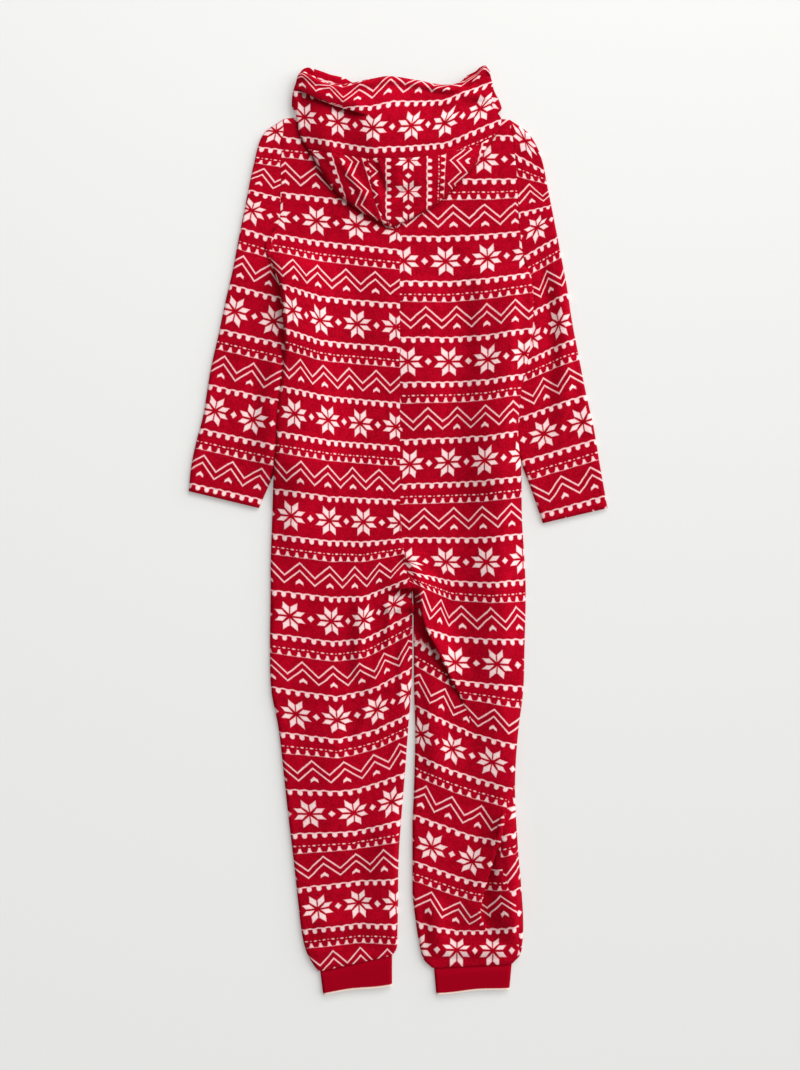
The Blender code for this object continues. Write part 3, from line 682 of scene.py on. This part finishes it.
def back_half(name, half, grid, stars, laps):
    """Half of the back. Each of its laps comes with the print of the cloth below it."""
    spread = star_map(stars)

    def shape(u, v):
        far = half.length * (v + 0.02 * math.sin(2 * math.pi * v) / (2 * math.pi))
        a, b = half.section(far)
        width = (b - a).length
        distance = width * spaced(u, BACK_SPACING)
        rolled = smoothstep(-405, -440, a.y) if half.sign > 0 else 0.0
        if rolled:
            pull = u / SEAM_COLUMN if u < SEAM_COLUMN else 1.0 - smoothstep(SEAM_COLUMN, 0.3, u)
            distance += rolled * pull * (rolled_seam(-a.y).x - width * SEAM_SHARE)
        past_seam = distance - rolled_seam(-a.y).x
        flat = a + (b - a) * (distance / width)
        x, y = flat

        calm = smoothstep(0.0, 30.0, min(distance, width - distance)) * 0.75 + 0.25
        top = LAYERS + relief(BODY_FOLDS, x, y) + 1.5 * calm * ripple(x, y, 64.0, half.sign * 3.0)
        keep = smoothstep(0.0, 16.0, width - distance) if y < CROTCH_Y else 1.0
        keep *= smoothstep(0.0, 12.0, distance)
        shift, above = Vector((0.0, 0.0)), []
        for over, _ in laps:
            move, height, side = over(x, y)
            shift += move * keep
            top += height * (0.35 + 0.65 * keep)
            above.append(side)
        if rolled:
            top -= 1.6 * rolled * close(abs(past_seam), 4.0)

        low = SEAM_HEIGHT + HALF_GAP
        crotch = smoothstep(-78, -18, y) * (1 - smoothstep(18, 37, abs(x - CENTRE_X)))
        least = 6.4 + 3.3 * crotch
        share = half.edges(distance, width, far, x, y)
        ankle = bend(half.length - far, 8.0) * 0.36 + 0.64
        z = half.lift(distance, y) + low + (max(top, least) - low) * share * ankle
        seam = close(width - distance, 4.5)
        armhole = close(distance, 5.0) * smoothstep(-6, 6, y - half.side.underarm)
        z -= (0.25 * seam + 0.5 * armhole) * share
        spot = flat + shift
        beyond = past_seam if rolled == 1.0 else 1.0
        return Vector((spot.x, spot.y, z)), (spot.x, spot.y, beyond, *above)

    def turned(dots):
        """Print of a face, which is wholly on one side of a lap or of the rolled side seam."""
        if sum(dot[2] for dot in dots) < -0.4:
            return lambda x, y, *rest: rolled_print(x, y)
        sides = [float(sum(dot[3 + i] for dot in dots) > 0.5 * len(dots)) for i in range(len(laps))]

        def print_at(x, y, beyond, *corner):
            found = spread(x, y)
            for whole, own, (_, lower) in zip(sides, corner, laps):
                above = whole if own in (0.0, 1.0) else own
                if lower and above < 1.0:
                    found = mixed(found, lower(x, y), above)
            return found

        return print_at

    return lay(name, *grid, shape, None, printed_plush, turned=turned)


left_half = Half(LEFT_SECTIONS, LEFT_SIDE, -1)
right_half = Half(RIGHT_SECTIONS, RIGHT_SIDE, 1)
left_laps = ((seat_over, None),)
right_laps = ((seat_over, star_map(UNDER_SEAT_STARS)), (shin_over, star_map(UNDER_SHIN_STARS)))
for side_name, half, stars, laps in (("left", left_half, LEFT_BACK_STARS, left_laps),
                                     ("right", right_half, RIGHT_BACK_STARS, right_laps)):
    back_grid = ((60, 400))
    piece = back_half(f"back_{side_name}_cloth", half, back_grid, stars, laps)
    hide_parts(f"back_{side_name}")

# The front's closing: how far each edge stands back from the lap, and the buttons down it,
# which press into the edge that is underneath.
OPENING, OVERLAP_STEP = 15.0, 3.3
BUTTON_COUNT, BUTTON_TOP, BUTTON_PITCH, BUTTON_DENT = 7, 640.0, 88.0, 1.7


def front_half(name, half, stars, above):
    """The layer on the surface below. One front edge laps over the other, buttons between."""

    def shape(u, v):
        far = half.length * v
        a, b = half.section(far)
        opened = smoothstep(-8, 52, b.y)
        b = b - Vector((half.sign * OPENING * opened, 0.0))
        width = (b - a).length
        distance = width * spaced(u, 0.7)
        x, y = a + (b - a) * (distance / width)
        share = half.edges(distance, width, far, x, y)
        step = dent = 0.0
        if above:
            step = OVERLAP_STEP * smoothstep(-68, -12, y)
            step *= smoothstep(-32, -17, x - CENTRE_X) * share
        elif y > 80:
            number = min(BUTTON_COUNT - 1, max(0, round((BUTTON_TOP - y) / BUTTON_PITCH)))
            away = math.hypot(x - CENTRE_X, y - BUTTON_TOP + BUTTON_PITCH * number)
            dent = BUTTON_DENT * smoothstep(11.5, 7.6, away)
        z = half.lift(distance, y) + (SEAM_HEIGHT - HALF_GAP) * (1.0 - share) + step + dent
        return Vector((x, y, z)), (x, y)

    return lay(name, 56, 320, shape, star_map(stars), printed_plush)


for side_name, half, stars in (("left", left_half, LEFT_BACK_STARS),
                               ("right", right_half, RIGHT_BACK_STARS)):
    piece = front_half(f"front_{side_name}_cloth", half, stars, side_name == "left")
    piece.modifiers["wall"].offset = 1.0
    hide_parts(f"front_{side_name}")

# ---------------------------------------------------------------- sleeves
# One piece of the fleece each, folded along its outer edge and sewn underneath, set into the
# armhole and turned under at the hem. Its inner edge goes under the side of the body.

# The outer and inner edge of each sleeve, from the armhole down to the hem.
LEFT_SLEEVE = [Section(*ends) for ends in (
    (-187, 681, -206, 467), (-222, 655, -206, 452), (-238, 603, -202, 436), (-250, 545, -197, 415),
    (-262, 485, -190, 390), (-272, 432, -188, 362), (-284, 380, -174, 322), (-296, 323, -166, 276),
    (-309, 265, -166, 222), (-321, 191, -177, 163), (-332, 149, -192, 120), (-341, 106, -210, 80),
    (-345, 65, -229, 37),
)]
RIGHT_SLEEVE = [Section(*ends) for ends in (
    (186, 679, 209, 450), (217, 656, 212, 436), (237, 618, 214, 420), (249, 562, 215, 402),
    (261, 502, 212, 380), (271, 450, 207, 354), (280, 402, 200, 326), (288, 348, 189, 284),
    (299, 290, 182, 232), (311, 229, 184, 180), (324, 171, 196, 134), (334, 111, 219, 72),
    (347, 37, 240, 12),
)]
SLEEVE_FOLDS = [Fold(*fold) for fold in (
    (-262, 380, -262, 120, 0, 40, 34, 2.5), (-190, 345, -212, 60, 0, 16, 44, 12.0),
    (230, 470, 236, 180, 20, 20, 20, -5.0), (257, 463, 262, 116, 20, 18, 30, 7.0),
)]
LEFT_SLEEVE_STARS = (
    (0, 0, (-200, 659), (-138, 655)),
    (1, 0, (-241, 529.5), (-180, 510)),
    (2, 0, (-268, 361.5), (-205, 346)),
    (3, 0, (-301.5, 197.5), (-239, 183.5)),
    (4, 0, (-337, 36), (-275, 22)),
)
RIGHT_SLEEVE_STARS = (
    (0, 0, (211, 643.5), (262, 600)),
    (1, 0, (230, 501), (277.5, 529)),
    (2, -1, (223, 318.5), (266, 341.5), (322, 362)),
    (3, -1, (241.5, 160), (306, 179.5)),
    (4, -1, (272, -4), (338, 14)),
)

SLEEVE_ROUND, SLEEVE_GAP, HEM_STITCH = 7.0, 0.3, 14.0
# The under layer lifts by this share of the seam's height where the sleeve tucks in under
# the body.
UNDERARM_LIFT = 0.62


def across_tube(u, a, b):
    """Where a column of a tube pressed flat lies between the tube's edges a and b."""
    upper = u <= 0.5
    share = 2 * u if upper else 2 * (1 - u)
    width = (b - a).length
    distance = width * spaced(share, 0.65)
    return upper, share, width, distance, a + (b - a) * (distance / width)


def sleeve(name, sections, half, stars):
    """A tube of cloth pressed flat, whose top end follows the armhole."""
    length, outer_line, inner_line = edge_lines(sections, half.sign * SLEEVE_GAP)
    body_edge = [half.side_line(k * half.length / 400) for k in range(120)]
    start = sections[0]

    def armhole(y):
        for a, b in zip(body_edge, body_edge[1:]):
            if a.y >= y > b.y:
                return a.x + (b.x - a.x) * (a.y - y) / (a.y - b.y)
        return body_edge[0].x

    def shape(u, v):
        far = length * v
        upper, share, width, distance, flat = across_tube(u, outer_line(far), inner_line(far))
        straight = start.outer_x + (start.inner_x - start.outer_x) * distance / width
        seam_y = start.outer_y + (start.inner_y - start.outer_y) * distance / width
        flat.x += (armhole(seam_y) - straight) * max(0.0, 1.0 - v / 0.3) ** 2
        height = bend(distance, SLEEVE_ROUND) * bend(width - distance, SLEEVE_ROUND)
        height *= 0.45 + 0.55 * bend(length - far, 6.0)
        if upper:
            calm = smoothstep(0.0, 22.0, min(distance, width - distance))
            full = LAYERS + relief(SLEEVE_FOLDS, flat.x, flat.y)
            full += 1.2 * calm * ripple(flat.x, flat.y, 48.0, half.sign * 11.0)
            full -= 1.5 * close(abs(length - far - HEM_STITCH), 4.5)
            z = SEAM_HEIGHT + (full - SEAM_HEIGHT) * height
        else:
            underarm = smoothstep(0.22, 0.17, v) * smoothstep(0.45, 0.6, share)
            z = SEAM_HEIGHT * (1 - height * (1 - UNDERARM_LIFT * underarm))
        return Vector((flat.x, flat.y, z)), (flat.x, flat.y)

    return lay(name, 84, 170, shape, star_map(stars), printed_plush, tube=True)


for side_name, sections, half, stars in (
    ("left", LEFT_SLEEVE, left_half, LEFT_SLEEVE_STARS),
    ("right", RIGHT_SLEEVE, right_half, RIGHT_SLEEVE_STARS),
):
    piece = sleeve(f"sleeve_{side_name}_cloth", sections, half, stars)
    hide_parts(f"sleeve_{side_name}")

# ---------------------------------------------------------------- ankle cuffs
# A band of knitted red rib, sewn into a ring and sewn on under the leg's gathered edge. Its
# pale raw edge shows at the end.

# The corners of each cuff, as it lies.
Cuff = namedtuple("Cuff", "top_left top_right bottom_left bottom_right")
LEFT_CUFF = Cuff((-128, -727.5), (-9, -697.5), (-123, -766), (-9, -752))
RIGHT_CUFF = Cuff((60, -721.5), (189, -715.5), (64, -766), (185, -757))
RIB_PITCH, STITCH_PITCH = 2.1, 1.9
CUFF_LENGTH, CUFF_ROUND = 38.0, 4.5


def rib_knit(name):
    """Ribs that run down the cuff, crossed by rows of stitches, and a pale edge at its end."""
    material, shader, place = new_finish(name, 0.85)
    shader.inputs["Specular IOR Level"].default_value = 0.03
    across, down = print_place(place)
    fuzz = place.noise(700.0)
    wave = (across * (2 * math.pi / RIB_PITCH)).math("SINE")
    stitch = (down * (2 * math.pi / STITCH_PITCH) + wave).math("SINE")
    tone = wave * 0.08 + stitch * 0.05 + (fuzz - 0.5) * 0.9 + 0.5
    cloth = tone.mix((0.28, 0.0, 0.008, 1), (0.38, 0.0, 0.012, 1))
    edge = (down * -0.9 + 2.4 + (fuzz - 0.5) * 0.8).clamp(0.0, 1.0)
    edge.mix(cloth, (0.88, 0.66, 0.58, 1)).into(shader, "Base Color")
    (wave * 0.5 + stitch * 0.25 + fuzz * 0.4).bump(shader, 0.25, 0.0006)
    return material


rib = rib_knit("rib_knit")


def ankle_cuff(name, cuff):
    left = curve((0.0, 1.0), (cuff.top_left, cuff.bottom_left))
    right = curve((0.0, 1.0), (cuff.top_right, cuff.bottom_right))

    def shape(u, v):
        upper, _, width, distance, flat = across_tube(u, left(v), right(v))
        wavy = math.sin(flat.x / 17.0) * 1.2 * v
        height = bend(distance, CUFF_ROUND) * bend(width - distance, CUFF_ROUND)
        puff = 0.5 + 3.3 * smoothstep(0.0, 0.3, v) + 0.5 * ripple(flat.x, flat.y, 30.0, 5.0) * v
        z = SEAM_HEIGHT + puff * height if upper else SEAM_HEIGHT * (1 - height)
        return Vector((flat.x, flat.y + wavy, z)), (u, v, width)

    def knit_at(u, v, width):
        return width * 2 * u, (1 - v) * CUFF_LENGTH

    return lay(name, 80, 22, shape, knit_at, rib, wall=2.4, tube=True)


for side_name, cuff in (("left", LEFT_CUFF), ("right", RIGHT_CUFF)):
    piece = ankle_cuff(f"cuff_{side_name}_rib", cuff)
    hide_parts(f"cuff_{side_name}")

# ---------------------------------------------------------------- hood
# Of the same fleece: a front band round the face, sewn to a crown of two pieces and flopped
# back as a bag with its mouth at the top. The band's turned edge rolls over at both corners.

HOOD_EDGE = 13.6
HOOD_LEFT = (
    (-157, 763), (-163, 753), (-168, 738), (-174, 718), (-174, 694), (-169, 681), (-159, 648),
    (-139, 615), (-111, 570), (-72, 534), (-26, 507), (-18, 502), (-15, 498))
HOOD_RIGHT = (
    (145, 768), (151, 760), (154, 748), (157, 737), (160, 726), (167.5, 711.5), (173, 696),
    (175, 683), (174, 674), (165, 656), (158, 646), (134, 611), (110, 583), (77, 550), (50, 529),
    (9, 508), (-4, 502), (-7, 498))
BAND_RIGHT = (
    (145, 768), (151, 760), (154, 748), (157, 737), (156.5, 726), (155, 714), (155.5, 703),
    (159, 694), (168, 684), (171, 676), (165, 656))
HOOD_TIP = (-11, 500)
NEAR_HEM = (
    (-161, 754), (-152, 756), (-138, 749), (-126, 741), (-114, 736), (-100, 734.5), (-84, 735.5),
    (-70, 737), (-57, 740), (-40, 743), (-17, 747), (4, 745.5), (22, 742.5), (40, 739.5),
    (59, 735.5), (86, 734), (101, 738), (114, 747), (129, 754), (136, 762), (143, 767),
    (150, 762))
FAR_HEM = (
    (-161, 757), (-155, 763), (-148, 765), (-139, 763), (-126, 759), (-111, 753.5), (-98, 750.5),
    (-86, 747), (-76, 741), (-54, 730), (4, 724), (78, 726), (104, 741), (114, 751), (129, 759),
    (137, 766), (146, 768), (153, 752))
LAYER_EDGE = (
    (-166, 680), (-155, 649), (-136, 618), (-109, 573), (-70, 538), (-26, 511), (-11, 504),
    (8, 512), (49, 533), (75, 554), (108, 587), (131, 614), (154, 646), (166, 680))
BAND_SEAM = (
    (-147.5, 629), (-128, 624), (-98, 618), (-70, 613.5), (-46, 611), (-19, 610), (31, 612),
    (58, 616), (86, 621.5), (124, 632), (147, 643), (165, 656))
CROWN_SEAM = ((-46, 611), (-45, 578), (-41, 555), (-35, 534), (-24, 518), (-14, 509))
CREST = ((770, 28), (740, 34), (700, 42), (650, 47), (618, 45), (580, 35), (540, 27), (510, 22),
         (498, 20))
HOOD_FOLDS = [Fold(*fold) for fold in (
    (-172, 742, -36, 690, 0, 24, 20, 8.0), (178, 706, 40, 722, -6, 14, 16, 4.0),
    (150, 712, 40, 694, 8, 18, 14, -3.0), (140, 662, 20, 640, 6, 16, 22, 2.5),
    (-103, 622, -42, 532, 0, 12, 12, 4.0), (-42, 612, -15, 545, 0, 8, 12, -5.0),
    (-24, 536, 38, 572, 0, 10, 10, -4.5), (8, 606, -2, 560, 0, 22, 24, 4.0),
    (110, 612, 60, 560, 0, 20, 16, 3.0),
)]

# The band's corner is rolled over towards the front, and lies over the rest of the band.
ROLLED_CORNER = Lap(5.0, 7.0, 26.0, 0.25, (
    (-172, 731), (-160, 723), (-144, 714), (-120, 703), (-95, 693), (-67, 684), (-44, 677)))
BAND_STARS = (
    (-1, 0, (-160, 831), (-90, 768), (-9, 836), (72, 828), (160, 858), (240, 868)),
    (0, 0, (-153, 681), (-98, 671), (-41, 659), (23, 663), (77, 669), (136, 694)),
    (1, 0, (-153, 520), (-100, 505), (-39, 495), (24, 500), (80, 505), (135, 535)),
)
UNDER_CORNER_STARS = (
    (-1, 0, (-155, 847), (-98, 838), (-41, 826), (23, 829), (77, 835), (136, 860)),
    *BAND_STARS[1:],
)
LINING_STARS = (
    (0, 0, (-150, 785), (-80, 764), (82, 714), (144, 707)),
    (1, 0, (-150, 619), (-80, 598), (82, 552), (144, 545)),
)


def ease(share):
    """Columns that close up towards both sides of the hood."""
    return spaced(share, 0.5)


def crossing(points):
    """X of an edge of the hood for a Y, from points that run down the hood."""
    line = curve([-y for _, y in points], points)
    return lambda y: line(-y).x


hood_left_edge, hood_right_edge = crossing(HOOD_LEFT), crossing(HOOD_RIGHT)
band_right_edge = crossing(BAND_RIGHT)
hood_crest = curve([-c[0] for c in CREST], [(c[1], 0.0) for c in CREST])
corner_over = lap_over(ROLLED_CORNER)


def hood_height(x, y):
    """The hood stands on a ridge left of its middle, and falls away evenly to its right."""
    low, high = hood_left_edge(y), hood_right_edge(y)
    ridge = low + (high - low) * 0.40
    inside = min(x - low, high - x)
    if x > ridge:
        away = min(1.0, (x - ridge) / (high - ridge))
        form = 1.0 - (math.sqrt(away * away + 0.02) - 0.1414) / (1.01 - 0.1414)
    else:
        near = max(0.0, (x - low) / (ridge - low))
        form = 0.45 * smoothstep(0.0, 0.35, near) + 0.55 * smoothstep(0.45, 1.0, near)
    side = min(1.0, abs((x - low) / (high - low) * 2.0 - 1.0))
    dome = math.sqrt(1.0 - side ** (4.5 if x < ridge else 2.4))
    band = smoothstep(575, 640, y)
    form = form * band + (0.8 * dome + 0.2 * form) * (1 - band)
    tip = bend(y - HOOD_TIP[1], 14.0)
    calm = smoothstep(0.0, 20.0, inside)
    rise = (hood_crest(-y).x - HOOD_EDGE - 5.0) * form + 5.0 * bend(inside, 6.0)
    rise += calm * (relief(HOOD_FOLDS, x, y) + 1.5 * ripple(x, y, 40.0, 2.0))
    return HOOD_EDGE + rise * tip


def hood_cloth(name, plan, across, along, print_at, node):
    """Lay a piece over the hood's form. Its plan gives X, Y, depth and print past the hem."""

    def shape(u, v):
        x, y, drop, over_hem = plan(u, v)
        move, lift, above = corner_over(x, y)
        spot = Vector((x + move.x, y + move.y, hood_height(x, y) + lift - drop))
        return spot, (spot.x, spot.y + over_hem, above)

    piece = lay(name, across, along, shape, print_at, printed_plush)
    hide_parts(node)
    return piece


band_line, band_length = line_through(BAND_SEAM)
hem_line, hem_length = line_through(NEAR_HEM)
crown_line, crown_length = line_through(CROWN_SEAM)
SEAM_SPLIT = sum(math.dist(a, b) for a, b in zip(BAND_SEAM[:4], BAND_SEAM[1:5]))


def band_plan(u, v):
    """The band's near hem is turned under and stands up as a soft roll."""
    end, edge = (1.0, band_right_edge) if u > 0.5 else (0.0, hood_left_edge)
    low = band_line(ease(u) * band_length) + Vector((0.0, 0.1))
    high = hem_line(ease(u) * hem_length)
    side = hem_line(end * hem_length).lerp(band_line(end * band_length), v)
    spot = high + (low - high) * v
    spot.x += (edge(side.y) - side.x) * abs(2 * u - 1) ** 5
    inward = (spot - high).length
    turned = 5.0 * (1 - bend(inward + 0.3, 5.0))
    roll = 0.5 * (1 + math.cos(math.pi * min(1.0, abs(inward - 8.0) / 9.0)))
    groove = close(abs(inward - 18.0), 5.0)
    seam = close((spot - low).length, 4.0)
    flat = smoothstep(-60, -20, spot.x)
    around = 5.0 + 16.0 * smoothstep(50, 110, spot.x) + 12.0 * smoothstep(-95, -130, spot.x)
    over_hem = around * max(0.0, 1.0 - inward / 16.0) ** 2
    return spot.x, spot.y, turned - 4.5 * roll + 1.2 * groove * flat + 0.7 * seam, over_hem


band_print, under_corner_print = star_map(BAND_STARS), star_map(UNDER_CORNER_STARS)


def print_on_band(x, y, above):
    found = band_print(x, y)
    return mixed(found, under_corner_print(x, y), above) if above < 1.0 else found


band = hood_cloth("hood_band_cloth", band_plan, 120, 60, print_on_band, "hood_band")


def crown(name, sign, edge_points, run, print_at, node):
    """Half of the crown, from the middle seam out to its edge and up to the band."""
    edge, edge_length = line_through([*edge_points, HOOD_TIP])
    nudge = Vector((sign * 0.1, 0.0))

    def plan(u, v):
        a, b = crown_line(v * crown_length) + nudge, edge(v * edge_length)
        b = b + nudge * v
        top = band_line(SEAM_SPLIT + run * ease(u)) - Vector((0.0, 0.1)) + nudge * (1 - u)
        corner = crown_line(0.0) + nudge + (edge(0.0) - crown_line(0.0) - nudge) * ease(u)
        spot = a + (b - a) * ease(u) + (top - corner) * (1 - v) ** 2
        seam = 0.8 * close(min((spot - a).length, (spot - top).length), 4.0)
        return spot.x, spot.y, seam, 0.0

    return hood_cloth(name, plan, 60, 56, print_at, node)


def left_crown_print(x, y, above):
    return (y - 560.0) / 62.0, (-5.0 - x - 0.33 * (y - 612.0)) / 134.0


def right_crown_print(x, y, above):
    lean = 0.32 * max(0.0, x - 60.0) * (612.0 - y) / 100.0
    return (607.0 - y) / 50.0, (x - 18.0 + lean) / 152.0


left_crown = crown("hood_left_cloth", -1, (BAND_SEAM[0], *HOOD_LEFT[7:-1]), -SEAM_SPLIT,
                   left_crown_print, "hood_left")
right_crown = crown("hood_right_cloth", 1, (BAND_SEAM[-1], *HOOD_RIGHT[10:-1]),
                    band_length - SEAM_SPLIT, right_crown_print, "hood_right")

# The neck seam runs 2.4 mm above the shoulders, which fall 19 mm from its middle.
NECK_SEAM = [(x, 702.4 - 19 * abs(x - CENTRE_X) / (191 if x < CENTRE_X else 183))
             for x in range(-165, 170, 15)]
far_hem, far_length = line_through(FAR_HEM)
neck, neck_length = line_through(NECK_SEAM)
layer_edge, layer_length = line_through(LAYER_EDGE)
NECK_ROW = 0.4


def lining_shape(u, v):
    """The hood's far side and neck, from its hem over the shoulders to its tip."""
    a, b = far_hem(ease(u) * far_length), neck(ease(u) * neck_length)
    c = layer_edge(ease(u) * layer_length)
    spot = b + (c - b) * ((v - NECK_ROW) / (1 - NECK_ROW))
    if v < NECK_ROW:
        spot = a + (b - a) * (v / NECK_ROW)
        end, outline = (1.0, hood_right_edge) if u > 0.5 else (0.0, hood_left_edge)
        side = far_hem(end * far_length).lerp(neck(end * neck_length), v / NECK_ROW)
        free = smoothstep(NECK_ROW, 0.32, v)
        spot.x += (outline(side.y) - side.x) * abs(2 * u - 1) ** 5 * free
    inward = min((spot - a).length, (spot - c).length, u * 300, (1 - u) * 300)
    inner = max(0.0, hood_height(spot.x, spot.y) - 5.0 - HOOD_EDGE)
    high = 12.2 + (0.22 + 0.40 * smoothstep(700, 560, spot.y)) * inner
    z = 6.5 + (high - 6.5) * (0.15 + 0.85 * bend(inward, 6.0))
    return Vector((spot.x, spot.y, z)), (spot.x, spot.y)


lining = lay("hood_lining", 110, 90, lining_shape, star_map(LINING_STARS), printed_plush)
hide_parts("hood_under")

# ---------------------------------------------------------------- buttons
# Red moulded buttons with four holes, sewn to the under edge of the front closing. They face
# the surface that the garment lies on, and each is pressed a little into the plush.


def mottled(name, roughness, scale, dark, light):
    """A plain finish of two close colours that cloud into each other."""
    material, shader, place = new_finish(name, roughness)
    place.noise(scale).mix(dark, light).into(shader, "Base Color")
    return material


plastic = mottled("button_plastic", 0.3, 260.0, (0.30, 0.002, 0.010, 1), (0.42, 0.006, 0.02, 1))
cotton = mottled("thread_cotton", 0.8, 2500.0, (0.30, 0.0, 0.01, 1), (0.48, 0.01, 0.03, 1))
BUTTON_RADIUS, BUTTON_THICK, BUTTON_MIDDLE = 7.4, 1.4, 0.8
HOLE_RADIUS, HOLE_OUT = 0.8, 1.7
THREAD_RADIUS, THREAD_LENGTH, THREAD_OUT = 0.42, 2.9, 1.2


def rod(mesh, sides, radius, depth, place, turned=False):
    """Add a round rod about a place, upright or turned to lie across."""
    made = bmesh.ops.create_cone(mesh, cap_ends=True, segments=sides, radius1=radius,
                                 radius2=radius, depth=depth)
    if turned:
        across = Matrix.Rotation(math.pi / 2, 3, "Y")
        bmesh.ops.rotate(mesh, verts=made["verts"], matrix=across)
    bmesh.ops.translate(mesh, verts=made["verts"], vec=place)


def button(name, middle):
    """A disc with a sunk face, its four holes drilled through."""
    disc = bmesh.new()
    rod(disc, 36, BUTTON_RADIUS, BUTTON_THICK, (0, 0, 0))
    rims = [e for e in disc.edges if abs(e.verts[0].co.z - e.verts[1].co.z) < 0.1]
    bmesh.ops.bevel(disc, geom=rims, offset=0.35, segments=2, profile=0.5, affect="EDGES",
                    material=-1)
    face = min(disc.faces, key=lambda f: f.calc_center_median().z - f.calc_area())
    bmesh.ops.inset_region(disc, faces=[face], thickness=1.5)
    bmesh.ops.inset_region(disc, faces=[face], thickness=0.4, depth=-0.4)
    bmesh.ops.translate(disc, verts=disc.verts, vec=middle + Vector((0, 0, BUTTON_MIDDLE)))
    bmesh.ops.scale(disc, verts=disc.verts, vec=(MM, MM, MM))
    piece = make_object(disc, name, plastic)

    drill = bmesh.new()
    for turn in range(4):
        angle = math.pi * (turn + 0.5) / 2
        out = Vector((HOLE_OUT * math.cos(angle), HOLE_OUT * math.sin(angle), BUTTON_MIDDLE))
        rod(drill, 12, HOLE_RADIUS, 3, middle + out)
    bmesh.ops.scale(drill, verts=drill.verts, vec=(MM, MM, MM))
    cutter = make_object(drill, "drill")
    cut = piece.modifiers.new("holes", "BOOLEAN")
    cut.object, cut.operation, cut.solver = cutter, "DIFFERENCE", "EXACT"
    bpy.context.view_layer.update()
    drilled = piece.evaluated_get(bpy.context.evaluated_depsgraph_get())
    done = bpy.data.meshes.new_from_object(drilled)
    done.name = name
    piece.modifiers.clear()
    piece.data = done
    bpy.data.objects.remove(cutter)
    return piece


def thread(name, middle):
    """Two stitches, each across a pair of holes."""
    stitches = bmesh.new()
    for side in (-1, 1):
        place = middle + Vector((0, THREAD_OUT * side, 0.62))
        rod(stitches, 10, THREAD_RADIUS, THREAD_LENGTH, place, turned=True)
    bmesh.ops.scale(stitches, verts=stitches.verts, vec=(MM, MM, MM))
    return make_object(stitches, name, cotton)


for number in range(BUTTON_COUNT):
    middle = Vector((CENTRE_X, BUTTON_TOP - BUTTON_PITCH * number, 0.0))
    piece = button(f"button_{number + 1}_moulded", middle)
    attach(piece, "root")
    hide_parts(f"button_{number + 1}")
    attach(thread(f"button_{number + 1}_thread", middle), "root")
